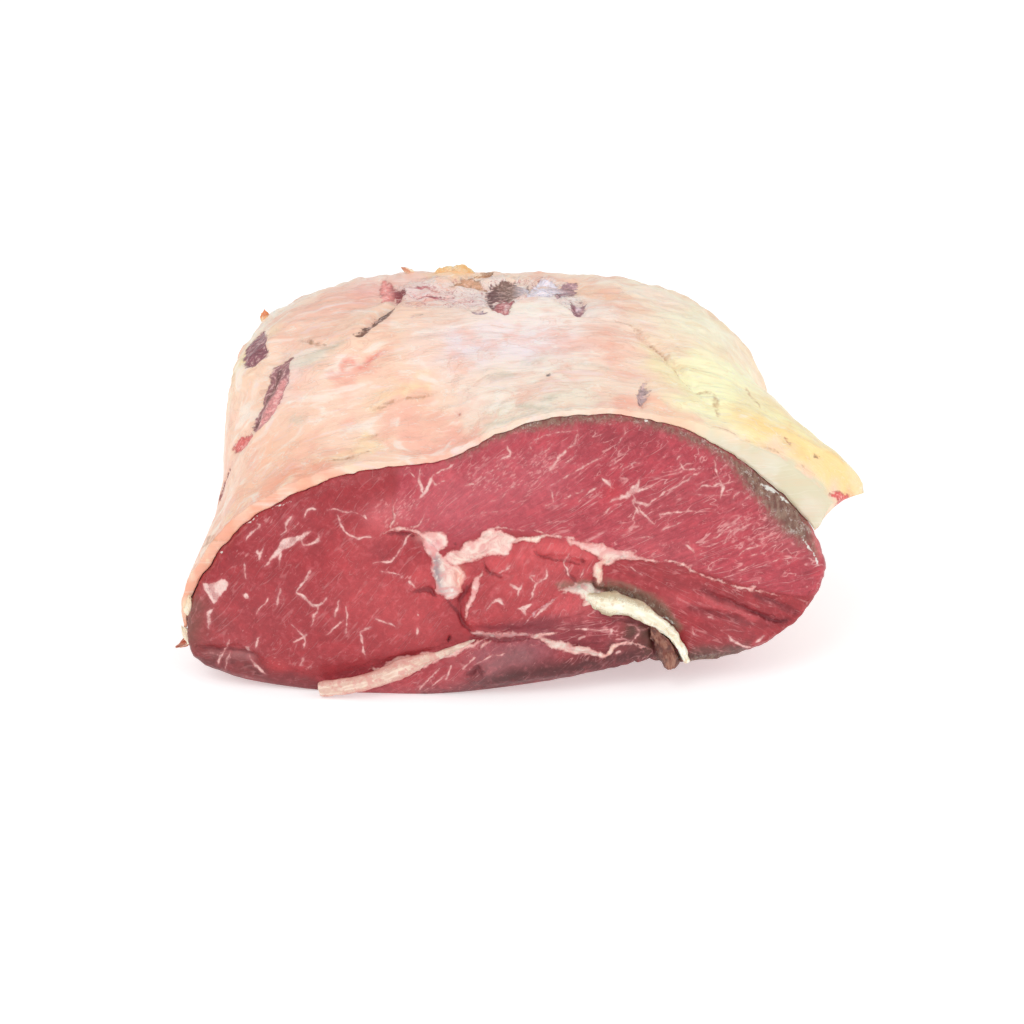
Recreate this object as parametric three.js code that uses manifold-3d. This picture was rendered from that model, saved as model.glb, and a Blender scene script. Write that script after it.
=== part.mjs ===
// Raw beef rump joint: a thick block of muscle with one fresh cut face, the outer fat that wraps its
// top, sides and back, the strand of seam fat that hangs out of the cut with a dried tip of meat behind
// it, and the flat strip of sinew that sticks out under the cut.
// Millimetres, +Z up. The cut face looks along -Y and the joint rests on its flat underside.
import * as THREE from 'three';
import Module from 'manifold-3d';
import { mergeVertices } from 'three/addons/utils/BufferGeometryUtils.js';

const { lerp, smoothstep, clamp, degToRad } = THREE.MathUtils;

// Driving dimensions

const JOINT_DEPTH = 184; // cut face to the back of the muscle
const CONTACT_GAP = 0.5; // kept between pieces that lie on each other
const CENTRE_X = -5; // axis that the cross sections turn about
const CENTRE_Z = 60;
const UNDERSIDE = -2.5; // height of the flat underside on that drawing

// Outline of the cut muscle seen square on, clockwise from the left tip, as [x, z].
const CUT_OUTLINE = [
  [-150, 31], [-142, 50], [-121, 78], [-81, 101], [-48, 108], [-29, 111], [-4, 124], [24, 131],
  [52, 130], [84, 119], [119, 92], [139, 68], [145, 47], [137, 31.5], [115, 15.5], [84, 10.5],
  [61, 12.5], [40, 8], [0, 1.5], [-40, -2.5], [-98, -1.5], [-133, 3.2], [-149, 11.5],
];
const RIGHT_TIP = 12; // the outline point where the top edge meets the lower edge

// The squarer cross section halfway back.
const BLOCK = { left: 128, right: 117, top: 90, bottom: 65.5 };
const BLOCK_SQUARENESS = { topLeft: 3.8, topRight: 2.9, bottomLeft: 3.2, bottomRight: 2.8 };
const BLOCK_FROM = 88; // depth at which the cut outline has become the block

// The rounded back end.
const BACK_STARTS = 118;
const BACK_SQUARENESS = 2.5;
const BACK_POLE_Z = 24;

// How the cut face is set: it leans back, bows at both ends and has a soft edge.
const LEAN_BACK = 0.11; // set back for each millimetre of height
const BOW = { centre: -18, halfWidth: 150, depth: 16, power: 2.2 };
const EDGE_ROUND = 3.5;
const EDGE_SHARE = 0.12; // of the way from the edge to the middle line of the face

// Seams between the muscles, as grooves in the cut face: [x, z] points, half width and depth.
const SEAMS = {
  upper: { path: [[-53, 79], [-41, 77], [-33, 66], [-32, 52]], half: 7, depth: 2.2 },
  middle: { path: [[-30, 58], [-6, 71], [20, 72], [42, 63], [86, 52], [124, 40]], half: 6, depth: 2 },
  middleLeft: { path: [[-17, 60], [-21, 42], [-18, 30]], half: 7, depth: 2.4 },
  lower: { path: [[-88, 4], [-52, 15], [-15, 27], [22, 28], [38, 20], [62, 18]], half: 6, depth: 4 },
  strandBed: { path: [[20, 49], [44, 45], [62, 35], [74, 22], [80, 10]], half: 8, depth: 5 },
  rightFold: { path: [[46, 60], [70, 49], [98, 38], [128, 32]], half: 6, depth: 2.2 },
  rightLowerFold: { path: [[60, 47], [80, 36], [116, 23]], half: 6, depth: 1.8 },
  leftStripFold: { path: [[-144, 15], [-124, 14], [-104, 7], [-84, 5]], half: 6, depth: 2.4 },
};

// Swellings of single muscles on the cut face: centre, half sizes and height.
const SWELLINGS = {
  left: { x: -88, z: 48, halfX: 60, halfZ: 40, height: 4.5 },
  upperRight: { x: 52, z: 92, halfX: 78, halfZ: 32, height: 5 },
  middle: { x: 8, z: 47, halfX: 26, halfZ: 20, height: 5 },
  lowerStrip: { x: -6, z: 12, halfX: 60, halfZ: 12, height: 7 },
  lowerRight: { x: 100, z: 30, halfX: 34, halfZ: 18, height: 3 },
};

// Outer fat. Angles are measured about the section axis, from +X towards +Z.
const FAT = { gap: 0.45, rim: 1.2, back: 8, top: 5, left: 6.5, right: 14 };
const CUT_SHARE = { top: 0.5, left: 0.75, right: 1 }; // of that thickness, where the fat is cut
const CUT_SHARE_ENDS = 30; // depth at which the fat is full
const FAT_FROM = degToRad(3); // right-hand lower limit
const FAT_TO = degToRad(194); // left-hand lower limit
const FAT_ENDS_IN = { right: degToRad(3), left: degToRad(8) }; // stretch over which it thins to the rim

// The wing of fat that stands out on the right, just behind the cut, and hangs below the horizontal.
const WING = { angle: degToRad(9.5), drop: degToRad(-7), most: 26, mostAt: 18, endsAt: 100 };
const WING_SPREAD = { below: degToRad(8), above: degToRad(31) };

// Furrows and hollows in the fat, on plan paths [x, y] as seen from above.
const FURROWS = {
  leftFold: { path: [[-54, 133], [-74, 108], [-100, 92], [-124, 70], [-134, 44]], half: 7, depth: 3.2 },
  tornHollow: { path: [[-16, 118], [6, 128], [30, 122]], half: 12, depth: 3.2 },
  yellowFatEdge: { path: [[34, 116], [58, 96], [72, 66], [82, 34]], half: 6, depth: 2.2 },
  rightNotch: { path: [[128, 128], [118, 106], [104, 92]], half: 8, depth: 3 },
};

// Pieces on the cut face: [x, z, lift, half width, half thickness] along each.
const SEAM_FAT = [
  [32, 46, -2, 2.5, 1.5], [37, 44, 1, 4.2, 2.4], [43, 42.5, 2.2, 5.4, 3], [50, 41, 2.6, 5.2, 3],
  [57, 38.5, 2.8, 4.4, 3], [63, 35, 2.8, 3.6, 2.8], [68, 31.5, 3, 3, 2.6], [73, 27, 3.6, 2.8, 2.4],
  [77, 21.5, 4.2, 2.8, 2.4], [79.5, 15.5, 4.4, 2.4, 2.2], [81, 12, 4, 1.4, 1.4],
];
const DRIED_TIP = [
  [62, 31, -4, 2.5, 2], [66, 27.5, -0.5, 4.8, 3.2], [70, 22.5, 1, 5.8, 4.2], [72.5, 16.5, 1.4, 6, 4.6],
  [73, 9, 1.2, 4.4, 3.6],
];
const SINEW = [
  [-13, 25, -2, 1, 1], [-24, 22, 0, 1.6, 1.3], [-34, 18.8, 1, 2.6, 1.6], [-42, 16.2, 1.8, 4, 1.8],
  [-50, 13.6, 2.6, 5, 2], [-58, 10, 3.6, 4.8, 2], [-68, 6.6, 5, 4.2, 2], [-78, 3.8, 6.4, 4, 2],
  [-89, 1.8, 7.4, 3.9, 2],
];

// Mesh steps
const COLUMNS = 96; // round the cross section
const SIDE_RINGS = 22; // from the cut face to the back
const FACE_RINGS = 14; // from the edge of the cut to its middle line
const PIECE_STEPS = 16; // along a piece on the cut face
const PIECE_SIDES = 10; // round it

// Small helpers

const bell = (distance, half) => Math.exp(-((distance / half) ** 2));

// Shortest distance in the plane from (a, b) to a path of [a, b] points.
function distanceToPath(a, b, path) {
  let best = Infinity;
  for (let i = 0; i + 1 < path.length; i++) {
    const [a0, b0] = path[i];
    const [a1, b1] = path[i + 1];
    const along = [a1 - a0, b1 - b0];
    const share = ((a - a0) * along[0] + (b - b0) * along[1]) / (along[0] ** 2 + along[1] ** 2);
    const t = clamp(share, 0, 1);
    best = Math.min(best, Math.hypot(a - a0 - along[0] * t, b - b0 - along[1] * t));
  }
  return best;
}

// Slow, even unevenness of about plus or minus one, the same on every run.
function lumps(x, y, z, size) {
  const [u, v, w] = [x / size, y / size, z / size];
  const slow = Math.sin(1.7 * u + 0.6 * w + 1.3) * Math.sin(1.3 * v - 0.9 * u + 0.4);
  const quick = Math.sin(2.9 * w + 1.1 * v + 2.1) * Math.sin(2.3 * u - 1.9 * v + 0.7);
  return 0.6 * slow + 0.4 * quick;
}

// A closed surface from a list of points and a triangle list.
function surface(points, triangles) {
  const geometry = new THREE.BufferGeometry();
  const positions = points.flatMap((p) => p.toArray());
  geometry.setAttribute('position', new THREE.Float32BufferAttribute(positions, 3));
  geometry.setIndex(triangles);
  return geometry;
}

// True if the four-sided patch a, b, c, d lies flatter when it is split from b to d than from a to c.
function splitsAcross(a, b, c, d) {
  const turn = (p, q, r, s) => {
    const first = new THREE.Triangle(p, q, r).getNormal(new THREE.Vector3());
    const second = new THREE.Triangle(p, r, s).getNormal(new THREE.Vector3());
    return first.angleTo(second);
  };
  return turn(b, c, d, a) + 1e-6 < turn(a, b, c, d);
}

// Two triangles over the patch a, b, c, d.
function patch(triangles, a, b, c, d, across) {
  if (across) triangles.push(b, c, d, b, d, a);
  else triangles.push(a, b, c, a, c, d);
}

// Cross sections

// Points spaced evenly along one stretch of a curve, without the last one.
function evenly(curve, from, to, count) {
  const FINE = 600;
  const points = [];
  const lengths = [0];
  for (let i = 0; i <= FINE; i++) {
    points.push(curve.getPoint(lerp(from, to, i / FINE)));
    if (i > 0) lengths.push(lengths[i - 1] + points[i].distanceTo(points[i - 1]));
  }
  const total = lengths[FINE];
  const result = [];
  for (let n = 0, i = 0; n < count; n++) {
    const wanted = (total * n) / count;
    while (lengths[i + 1] < wanted) i++;
    const share = (wanted - lengths[i]) / (lengths[i + 1] - lengths[i]);
    result.push(points[i].clone().lerp(points[i + 1], share));
  }
  return result;
}

// The cut outline as COLUMNS points. Column k of the top edge lies over column COLUMNS - k.
function cutColumns() {
  const corners = CUT_OUTLINE.map(([x, z]) => new THREE.Vector3(x, 0, z));
  const curve = new THREE.CatmullRomCurve3(corners, true, 'centripetal');
  const tip = RIGHT_TIP / CUT_OUTLINE.length;
  return [...evenly(curve, 0, tip, COLUMNS / 2), ...evenly(curve, tip, 1, COLUMNS / 2)];
}

// Distance from the axis to the block section at an angle.
function blockRadius(angle) {
  const right = Math.cos(angle) > 0;
  const top = Math.sin(angle) > 0;
  const halfWidth = right ? BLOCK.right : BLOCK.left;
  const halfHeight = top ? BLOCK.top : BLOCK.bottom;
  const side = right ? 'Right' : 'Left';
  const n = BLOCK_SQUARENESS[(top ? 'top' : 'bottom') + side];
  const sum = Math.abs(Math.cos(angle) / halfWidth) ** n + Math.abs(Math.sin(angle) / halfHeight) ** n;
  return sum ** (-1 / n);
}

const columns = cutColumns().map((p) => {
  const angle = Math.atan2(p.z - CENTRE_Z, p.x - CENTRE_X);
  return { x: p.x, z: p.z, angle, radius: Math.hypot(p.x - CENTRE_X, p.z - CENTRE_Z) };
});

// Cut face

// How far the smooth cut lies behind the plane y = 0.
function cutSetBack(x, z) {
  const aside = Math.abs(x - BOW.centre) / BOW.halfWidth;
  return LEAN_BACK * z + BOW.depth * aside ** BOW.power;
}

// Relief of the cut: positive into the meat.
function cutRelief(x, z) {
  let relief = 0;
  for (const s of Object.values(SWELLINGS)) {
    relief -= s.height * bell(Math.hypot((x - s.x) / s.halfX, (z - s.z) / s.halfZ), 0.8);
  }
  for (const s of Object.values(SEAMS)) {
    relief += s.depth * bell(distanceToPath(x, z, s.path), s.half);
  }
  return relief;
}

// Muscle body

// Where ring j lies: its depth behind the cut and how far the back end has drawn in.
function ringAt(j) {
  const straight = BACK_STARTS / (BACK_STARTS + 1.15 * (JOINT_DEPTH - BACK_STARTS));
  const t = j / SIDE_RINGS;
  if (t < straight) return { depth: (BACK_STARTS * t) / straight, draw: 1 };
  const turn = ((t - straight) / (1 - straight)) * (Math.PI / 2);
  const depth = BACK_STARTS + (JOINT_DEPTH - BACK_STARTS) * Math.sin(turn) ** (2 / BACK_SQUARENESS);
  return { depth, draw: j === SIDE_RINGS ? 0 : Math.cos(turn) ** (2 / BACK_SQUARENESS) };
}

// A point of the muscle's side: column k, ring j.
function sidePoint(k, j) {
  const { depth, draw } = ringAt(j);
  const column = columns[k];
  const squared = smoothstep(depth, 0, BLOCK_FROM);
  const radius = lerp(column.radius, blockRadius(column.angle), squared);
  const flatX = CENTRE_X + radius * Math.cos(column.angle);
  const flatZ = CENTRE_Z + radius * Math.sin(column.angle);
  const uneven = 1 + 0.022 * squared * lumps(flatX, depth, flatZ, 38);
  const x = CENTRE_X + (flatX - CENTRE_X) * draw * uneven;
  const z = BACK_POLE_Z + (flatZ * uneven - BACK_POLE_Z) * draw;
  const y = depth + (cutSetBack(x, z) + EDGE_ROUND) * (1 - depth / JOINT_DEPTH);
  return new THREE.Vector3(x, y, Math.max(z, UNDERSIDE));
}

const side = [];
for (let j = 0; j < SIDE_RINGS; j++) side.push(columns.map((_, k) => sidePoint(k, j)));
const backPole = sidePoint(0, SIDE_RINGS);

// A point of the cut face: column k, share t of the way from the edge to the middle line.
function facePoint(k, t) {
  const INSET = 5; // columns at each tip that share the end of the middle line
  const half = COLUMNS / 2;
  const rank = k <= half ? k : COLUMNS - k;
  const middle = clamp(rank, INSET, half - INSET);
  const [over, under] = [columns[middle], columns[COLUMNS - middle]];
  const x = lerp(columns[k].x, (over.x + under.x) / 2, t);
  const z = lerp(columns[k].z, (over.z + under.z) / 2, t);
  const edge = Math.max(0, 1 - t / EDGE_SHARE);
  const soft = EDGE_ROUND * (1 - Math.sqrt(1 - edge ** 2));
  const fade = smoothstep(t, 0, 0.3);
  return new THREE.Vector3(x, cutSetBack(x, z) + soft + cutRelief(x, z) * fade, z);
}

function muscleGeometry() {
  const face = [];
  for (let r = FACE_RINGS; r > 0; r--) face.push(columns.map((_, k) => facePoint(k, r / FACE_RINGS)));
  const rings = [...face, ...side];
  const points = [...rings.flat(), backPole];
  const pole = points.length - 1;
  const triangles = [];
  for (let j = 0; j < rings.length; j++) {
    for (let k = 0; k < COLUMNS; k++) {
      const next = (k + 1) % COLUMNS;
      const [a, b] = [j * COLUMNS + k, j * COLUMNS + next];
      const [c, d] = [b + COLUMNS, a + COLUMNS];
      if (j === rings.length - 1) triangles.push(a, b, pole);
      else patch(triangles, a, b, c, d, splitsAcross(points[a], points[b], points[c], points[d]));
    }
  }
  return surface(points, triangles);
}

// Outer fat

// Outward normal of the muscle's side.
function sideNormal(k, j) {
  const previous = side[j][(k + COLUMNS - 1) % COLUMNS];
  const following = side[j][(k + 1) % COLUMNS];
  const before = side[Math.max(j - 1, 0)][k];
  const after = j + 1 < SIDE_RINGS ? side[j + 1][k] : backPole;
  const round = following.clone().sub(previous);
  const back = after.clone().sub(before);
  const normal = round.cross(back).normalize();
  if (j === 0) normal.setY(0).normalize(); // the fat is cut level with the meat
  return normal;
}

// A column's angle, counted on past a half turn where the fat wraps under on the left.
const turned = (k) => columns[k].angle + (columns[k].angle < -Math.PI / 2 ? 2 * Math.PI : 0);

// Thickness of the fat over column k, ring j.
function fatThickness(k, j) {
  const { depth, draw } = ringAt(j);
  const angle = turned(k);
  const p = side[j][k];
  const toRight = smoothstep(degToRad(52) - angle, 0, degToRad(44));
  const toLeft = smoothstep(angle - degToRad(120), 0, degToRad(40));
  const around = ({ top, right, left }) => top + (right - top) * toRight + (left - top) * toLeft;
  let thick = around(FAT) * lerp(around(CUT_SHARE), 1, smoothstep(depth, 0, CUT_SHARE_ENDS));
  thick = lerp(thick, FAT.back, 1 - draw);
  if (p.z > CENTRE_Z) {
    for (const f of Object.values(FURROWS)) {
      thick -= f.depth * bell(distanceToPath(p.x, p.y, f.path), f.half);
    }
  }
  thick += 1.2 * smoothstep(depth, 0, CUT_SHARE_ENDS) * lumps(p.x, p.y, p.z, 17);
  return lerp(FAT.rim, Math.max(thick, 2), fullness(angle));
}

// 0 at the two lower limits of the fat, 1 inside them.
function fullness(angle) {
  const right = smoothstep(angle - FAT_FROM, 0, FAT_ENDS_IN.right);
  const left = smoothstep(FAT_TO - angle, 0, FAT_ENDS_IN.left);
  return Math.min(right, left);
}

// How far the wing carries the outer surface of the fat sideways.
function wingReach(k, j) {
  const { depth } = ringAt(j);
  const aside = turned(k) - WING.angle;
  const grown = smoothstep(depth, 0, WING.mostAt);
  const gone = 1 - smoothstep(depth, WING.mostAt, WING.endsAt);
  const spread = bell(aside, aside < 0 ? WING_SPREAD.below : WING_SPREAD.above);
  return WING.most * grown * gone * spread * fullness(turned(k));
}

// A point of the fat's inner or outer sheet.
function fatPoint(k, j, outer) {
  const away = FAT.gap + outer * fatThickness(k, j);
  const reach = outer * wingReach(k, j);
  const point = side[j][k].clone().addScaledVector(sideNormal(k, j), away);
  return point.add(new THREE.Vector3(reach * Math.cos(WING.drop), 0, reach * Math.sin(WING.drop)));
}

function fatGeometry() {
  // Columns that the fat covers, from its left-hand limit over the top to its right-hand one.
  const covered = columns
    .map((_, k) => k)
    .filter((k) => turned(k) >= FAT_FROM && turned(k) <= FAT_TO)
    .sort((a, b) => turned(b) - turned(a));
  const width = covered.length;
  const last = SIDE_RINGS - 1;
  const points = [];
  for (const outer of [0, 1]) {
    for (let j = 0; j < SIDE_RINGS; j++) points.push(...covered.map((k) => fatPoint(k, j, outer)));
  }
  // The two sheets close on points behind the muscle's back pole.
  for (const away of [FAT.gap, FAT.gap + FAT.back]) points.push(backPole.clone().setY(backPole.y + away));
  const sheet = SIDE_RINGS * width;
  const [innerPole, outerPole] = [2 * sheet, 2 * sheet + 1];
  const triangles = [];
  for (let j = 0; j < last; j++) {
    for (let i = 0; i + 1 < width; i++) {
      const [here, next] = [covered[i], covered[i + 1]];
      const under = [side[j][here], side[j][next], side[j + 1][next], side[j + 1][here]];
      const a = j * width + i;
      // The inner sheet is split as the muscle under it is, so that the gap stays even.
      patch(triangles, a, a + width, a + width + 1, a + 1, splitsAcross(...under));
      const [o, p, q, r] = [sheet + a, sheet + a + 1, sheet + a + width + 1, sheet + a + width];
      patch(triangles, o, p, q, r, splitsAcross(points[o], points[p], points[q], points[r]));
    }
    const [right, left] = [j * width + width - 1, j * width];
    patch(triangles, right, right + width, sheet + right + width, sheet + right, false);
    patch(triangles, left, sheet + left, sheet + left + width, left + width, false);
  }
  for (let i = 0; i + 1 < width; i++) {
    patch(triangles, i, i + 1, sheet + i + 1, sheet + i, false);
    const a = last * width + i;
    triangles.push(a, innerPole, a + 1, sheet + a, sheet + a + 1, outerPole);
  }
  const [endLeft, endRight] = [last * width, last * width + width - 1];
  triangles.push(endLeft, sheet + endLeft, outerPole, endLeft, outerPole, innerPole);
  triangles.push(endRight, outerPole, sheet + endRight, endRight, innerPole, outerPole);
  return surface(points, triangles);
}

// Pieces that lie on the cut face

const wasm = await Module();
wasm.setup();

function solidOf(geometry) {
  const bare = new THREE.BufferGeometry();
  bare.setAttribute('position', geometry.getAttribute('position'));
  bare.setIndex(geometry.getIndex());
  const merged = mergeVertices(bare, 1e-4);
  return new wasm.Manifold(new wasm.Mesh({
    numProp: 3,
    vertProperties: merged.getAttribute('position').array,
    triVerts: new Uint32Array(merged.getIndex().array),
  }));
}

function geometryOf(solid) {
  const mesh = solid.getMesh();
  const geometry = new THREE.BufferGeometry();
  geometry.setAttribute('position', new THREE.Float32BufferAttribute(mesh.vertProperties, mesh.numProp));
  geometry.setIndex([...mesh.triVerts]);
  return geometry;
}

const muscle = muscleGeometry();
const meatRoom = solidOf(muscle).translate([0, -CONTACT_GAP, 0]);

// Where the relief of the cut lies at [x, z].
const cutDepthAt = (x, z) => cutSetBack(x, z) + cutRelief(x, z);

// A flattened, tapering piece along stations on the cut face, grown by a margin.
function strandGeometry(stations, margin = 0) {
  const centres = stations.map(([x, z, lift]) => new THREE.Vector3(x, cutDepthAt(x, z) - lift, z));
  const line = new THREE.CatmullRomCurve3(centres, false, 'centripetal');
  const sizes = new THREE.CatmullRomCurve3(
    stations.map(([, , , wide, thick], i) => new THREE.Vector3(wide, thick, i)), false, 'centripetal');
  const points = [];
  for (let n = 0; n <= PIECE_STEPS; n++) {
    const t = n / PIECE_STEPS;
    const centre = line.getPoint(t);
    const along = line.getTangent(t);
    const across = new THREE.Vector3(0, -1, 0).cross(along).normalize();
    const out = along.clone().cross(across).normalize();
    const size = sizes.getPoint(t);
    for (let m = 0; m < PIECE_SIDES; m++) {
      const turn = (2 * Math.PI * m) / PIECE_SIDES;
      const uneven = 1 + 0.1 * lumps(centre.x + 9 * m, centre.y, centre.z, 5);
      const p = centre.clone().addScaledVector(across, (size.x * uneven + margin) * Math.cos(turn));
      points.push(p.addScaledVector(out, (size.y * uneven + margin) * Math.sin(turn)));
    }
  }
  const [start, end] = [points.length, points.length + 1];
  points.push(line.getPoint(0), line.getPoint(1));
  const triangles = [];
  for (let m = 0; m < PIECE_SIDES; m++) {
    const next = (m + 1) % PIECE_SIDES;
    triangles.push(start, next, m);
    const lastRing = PIECE_STEPS * PIECE_SIDES;
    triangles.push(end, lastRing + m, lastRing + next);
    for (let n = 0; n < PIECE_STEPS; n++) {
      const [a, b] = [n * PIECE_SIDES + m, n * PIECE_SIDES + next];
      triangles.push(a, b, b + PIECE_SIDES, a, b + PIECE_SIDES, a + PIECE_SIDES);
    }
  }
  return surface(points, triangles);
}

// The strand with the room of the meat behind it and of another piece taken out of it.
function strandOnCut(stations, other = null) {
  let solid = solidOf(strandGeometry(stations)).subtract(meatRoom);
  if (other) solid = solid.subtract(solidOf(strandGeometry(other, CONTACT_GAP)));
  const pieces = solid.decompose().sort((a, b) => b.volume() - a.volume());
  return geometryOf(pieces[0]);
}

// Assembly

const material = (color, roughness) => new THREE.MeshStandardMaterial({ color, roughness, metalness: 0 });
const LEAN = material(0xa8404a, 0.45);
const OUTER_FAT = material(0xf3dcc4, 0.5);
const CREAM_FAT = material(0xf0e6c8, 0.45);
const DRIED_MEAT = material(0x7a5343, 0.6);
const SINEW_WHITE = material(0xeec8ba, 0.45);

function named(name, geometry, finish) {
  const mesh = new THREE.Mesh(geometry, finish);
  mesh.name = name;
  return mesh;
}

const rump = new THREE.Group();
rump.add(named('lean_meat', muscle, LEAN));
rump.add(named('fat_cap', fatGeometry(), OUTER_FAT));
rump.add(named('seam_fat', strandOnCut(SEAM_FAT), CREAM_FAT));
rump.add(named('dried_tip', strandOnCut(DRIED_TIP, SEAM_FAT), DRIED_MEAT));
rump.add(named('sinew_strip', strandOnCut(SINEW), SINEW_WHITE));

// The frame's origin is under the middle of the joint, on the surface it rests on.
const box = new THREE.Box3().setFromObject(rump);
const middle = box.getCenter(new THREE.Vector3());
rump.position.set(-middle.x, -middle.y, -box.min.z);

export default rump;
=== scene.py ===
"""Raw beef rump joint, dressed: cut muscle, outer fat, cream strand, dried nub and sinew.

The cut face is described in its own millimetres, x to the right and z up, as it is seen square on.
The outer fat is described in millimetres on the unrolled skin, u to the right from the crest and v
back from the cut. Finished meshes are in metres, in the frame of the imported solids.
"""
import logging
import math
from dataclasses import dataclass, field
from enum import Enum
from typing import Sequence

import bpy
import numpy as np
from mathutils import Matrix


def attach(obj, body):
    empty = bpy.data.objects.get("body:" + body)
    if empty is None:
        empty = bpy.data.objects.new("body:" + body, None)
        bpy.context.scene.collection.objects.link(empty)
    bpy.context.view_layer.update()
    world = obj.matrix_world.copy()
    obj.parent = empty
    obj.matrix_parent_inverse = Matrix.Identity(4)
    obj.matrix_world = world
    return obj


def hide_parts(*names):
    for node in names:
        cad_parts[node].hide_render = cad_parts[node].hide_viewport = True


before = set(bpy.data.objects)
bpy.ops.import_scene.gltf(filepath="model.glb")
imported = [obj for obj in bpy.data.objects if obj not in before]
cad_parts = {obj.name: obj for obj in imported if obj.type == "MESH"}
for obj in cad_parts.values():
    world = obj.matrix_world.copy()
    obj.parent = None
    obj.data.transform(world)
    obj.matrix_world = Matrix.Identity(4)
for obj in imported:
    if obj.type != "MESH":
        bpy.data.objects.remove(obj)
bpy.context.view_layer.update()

log = logging.getLogger("rump")

Point = tuple[float, float]
Path = tuple[Point, ...]
Triple = tuple[float, float, float]
Colour = tuple[int, int, int]
Piece = bpy.types.Object
Array = np.ndarray
Value = "Wire | float"

MM = 0.001
CUT_ZERO = np.array([-6.241, -94.493, 2.5])  # where the zero of the cut lies in the frame, mm
SECTION_AXIS = (-5.0, 60.0)  # the line that the cross sections turn about, as x and z on the cut
SKIN_SCALE = 100.0  # mm of skin for each radian round that line
FAR = 5.0  # how far from a drawn line its cover is still told apart, mm
SIGHT_FALL = 0.49  # the drawing lies on the relief of the cut as if laid along a line that falls so
FLOOR_Z = -2.5  # height of the floor on the drawing of the cut
STROKE_TAPER = 0.22  # share of a drawn line over which its ends grow thin
STROKE_END = 0.3  # how wide its very ends still are
GROOVE_TAPER = 0.18  # the same for the depth of a groove
GROOVE_END = 0.25
GROOVE_REACH = 3  # how many half widths away a groove is still felt
EDGE_STRAY = ((0.9, 9.0), (0.55, 3.2))  # how far the edge of the cut wanders, and over what length, mm
EDGE_DEPTHS = (26, 44)  # depths between which that wandering dies out, mm


# Seeded unevenness


class Unevenness:
    """Smooth noise in space, the same on every run."""

    def __init__(self, seed: int) -> None:
        """Lays out the lattice.

        Args:
            seed: picks the pattern.
        """
        draw = np.random.default_rng(seed)
        self.order = draw.permutation(256)
        self.height = draw.uniform(-1, 1, 256)

    def once(self, places: Array) -> Array:
        """One layer of noise.

        Args:
            places: rows of x, y, z, in lattice steps.

        Returns:
            Values between -1 and 1.
        """
        cell = np.floor(places).astype(int)
        part = places - cell
        part = part * part * (3 - 2 * part)
        total = np.zeros(len(places))
        for corner in np.ndindex(2, 2, 2):
            x, y, z = ((cell + corner) & 255).T
            share = np.prod(np.where(corner, part, 1 - part), axis=1)
            total += share * self.height[self.order[(self.order[(self.order[x] + y) & 255] + z) & 255]]
        return total

    def at(self, places: Array, size: float, layers: int = 2) -> Array:
        """Noise with finer and weaker layers on top.

        Args:
            places: rows of x, y, z in mm.
            size: the coarsest lump in mm.
            layers: how many layers.

        Returns:
            Values of about -1 to 1.
        """
        scaled = places / size
        total = sum(self.once(scaled * 2.03**n + 17.3 * n) * 0.5**n for n in range(layers))
        return total / 1.4

    def stray(self, places: Array, size: float) -> Array:
        """Noise in two directions at once, by which drawn lines stray."""
        return np.stack([self.at(places + shift, size, 3) for shift in (0, 300)], axis=1)


# Drawn marks


@dataclass(frozen=True)
class Stroke:
    """A drawn line: its points, and its full widths from start to end, in mm."""

    path: Path
    width: tuple[float, ...]


def strokes(width: tuple[float, ...], *paths: Path) -> tuple[Stroke, ...]:
    """Drawn lines that share their widths."""
    return tuple(Stroke(path, width) for path in paths)


@dataclass(frozen=True)
class Area:
    """A drawn area by its corners, in mm."""

    corners: Path


@dataclass(frozen=True)
class Tint:
    """A soft tint along a line or on a spot, in mm, with its colour and strength."""

    path: Path
    half: float
    colour: Colour
    strength: float = 0.6


@dataclass(frozen=True)
class Groove:
    """A groove, or with a negative depth a ridge, along a line: its half width and depth in mm."""

    path: Path
    half: float
    depth: float


Mark = Stroke | Area
Marks = tuple[Mark, ...]


def eased(path: Path, steps: int = 5) -> Array:
    """Rounds the corners of a path.

    Args:
        path: the drawn points.
        steps: points for each stretch.

    Returns:
        Rows of points.
    """
    points = np.array(path, float)
    if len(points) < 3:
        return points
    ends = np.vstack([2 * points[0] - points[1], points, 2 * points[-1] - points[-2]])
    rows = []
    for i in range(len(points) - 1):
        a, b, c, d = ends[i : i + 4]
        for t in np.arange(steps) / steps:
            bend = (2 * a - 5 * b + 4 * c - d) * t**2 + (3 * b - a - 3 * c + d) * t**3
            rows.append(0.5 * (2 * b + (c - a) * t + bend))
    return np.array([*rows, points[-1]])


def off_path(spots: Array, path: Array) -> tuple[Array, Array]:
    """Distance to a path.

    Args:
        spots: rows of two coordinates.
        path: rows of points.

    Returns:
        The distances in mm, and how far along the path the nearest points lie, from 0 to 1.
    """
    steps = np.linalg.norm(np.diff(path, axis=0), axis=1)
    starts = np.concatenate([[0], np.cumsum(steps)])
    best = np.full(len(spots), np.inf)
    along = np.zeros(len(spots))
    for i, step in enumerate(steps):
        way = path[i + 1] - path[i]
        t = np.clip((spots - path[i]) @ way / (way @ way), 0, 1)
        gap = np.linalg.norm(spots - path[i] - t[:, None] * way, axis=1)
        nearer = gap < best
        best[nearer] = gap[nearer]
        along[nearer] = (starts[i] + t[nearer] * step) / starts[-1]
    return best, along


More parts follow.
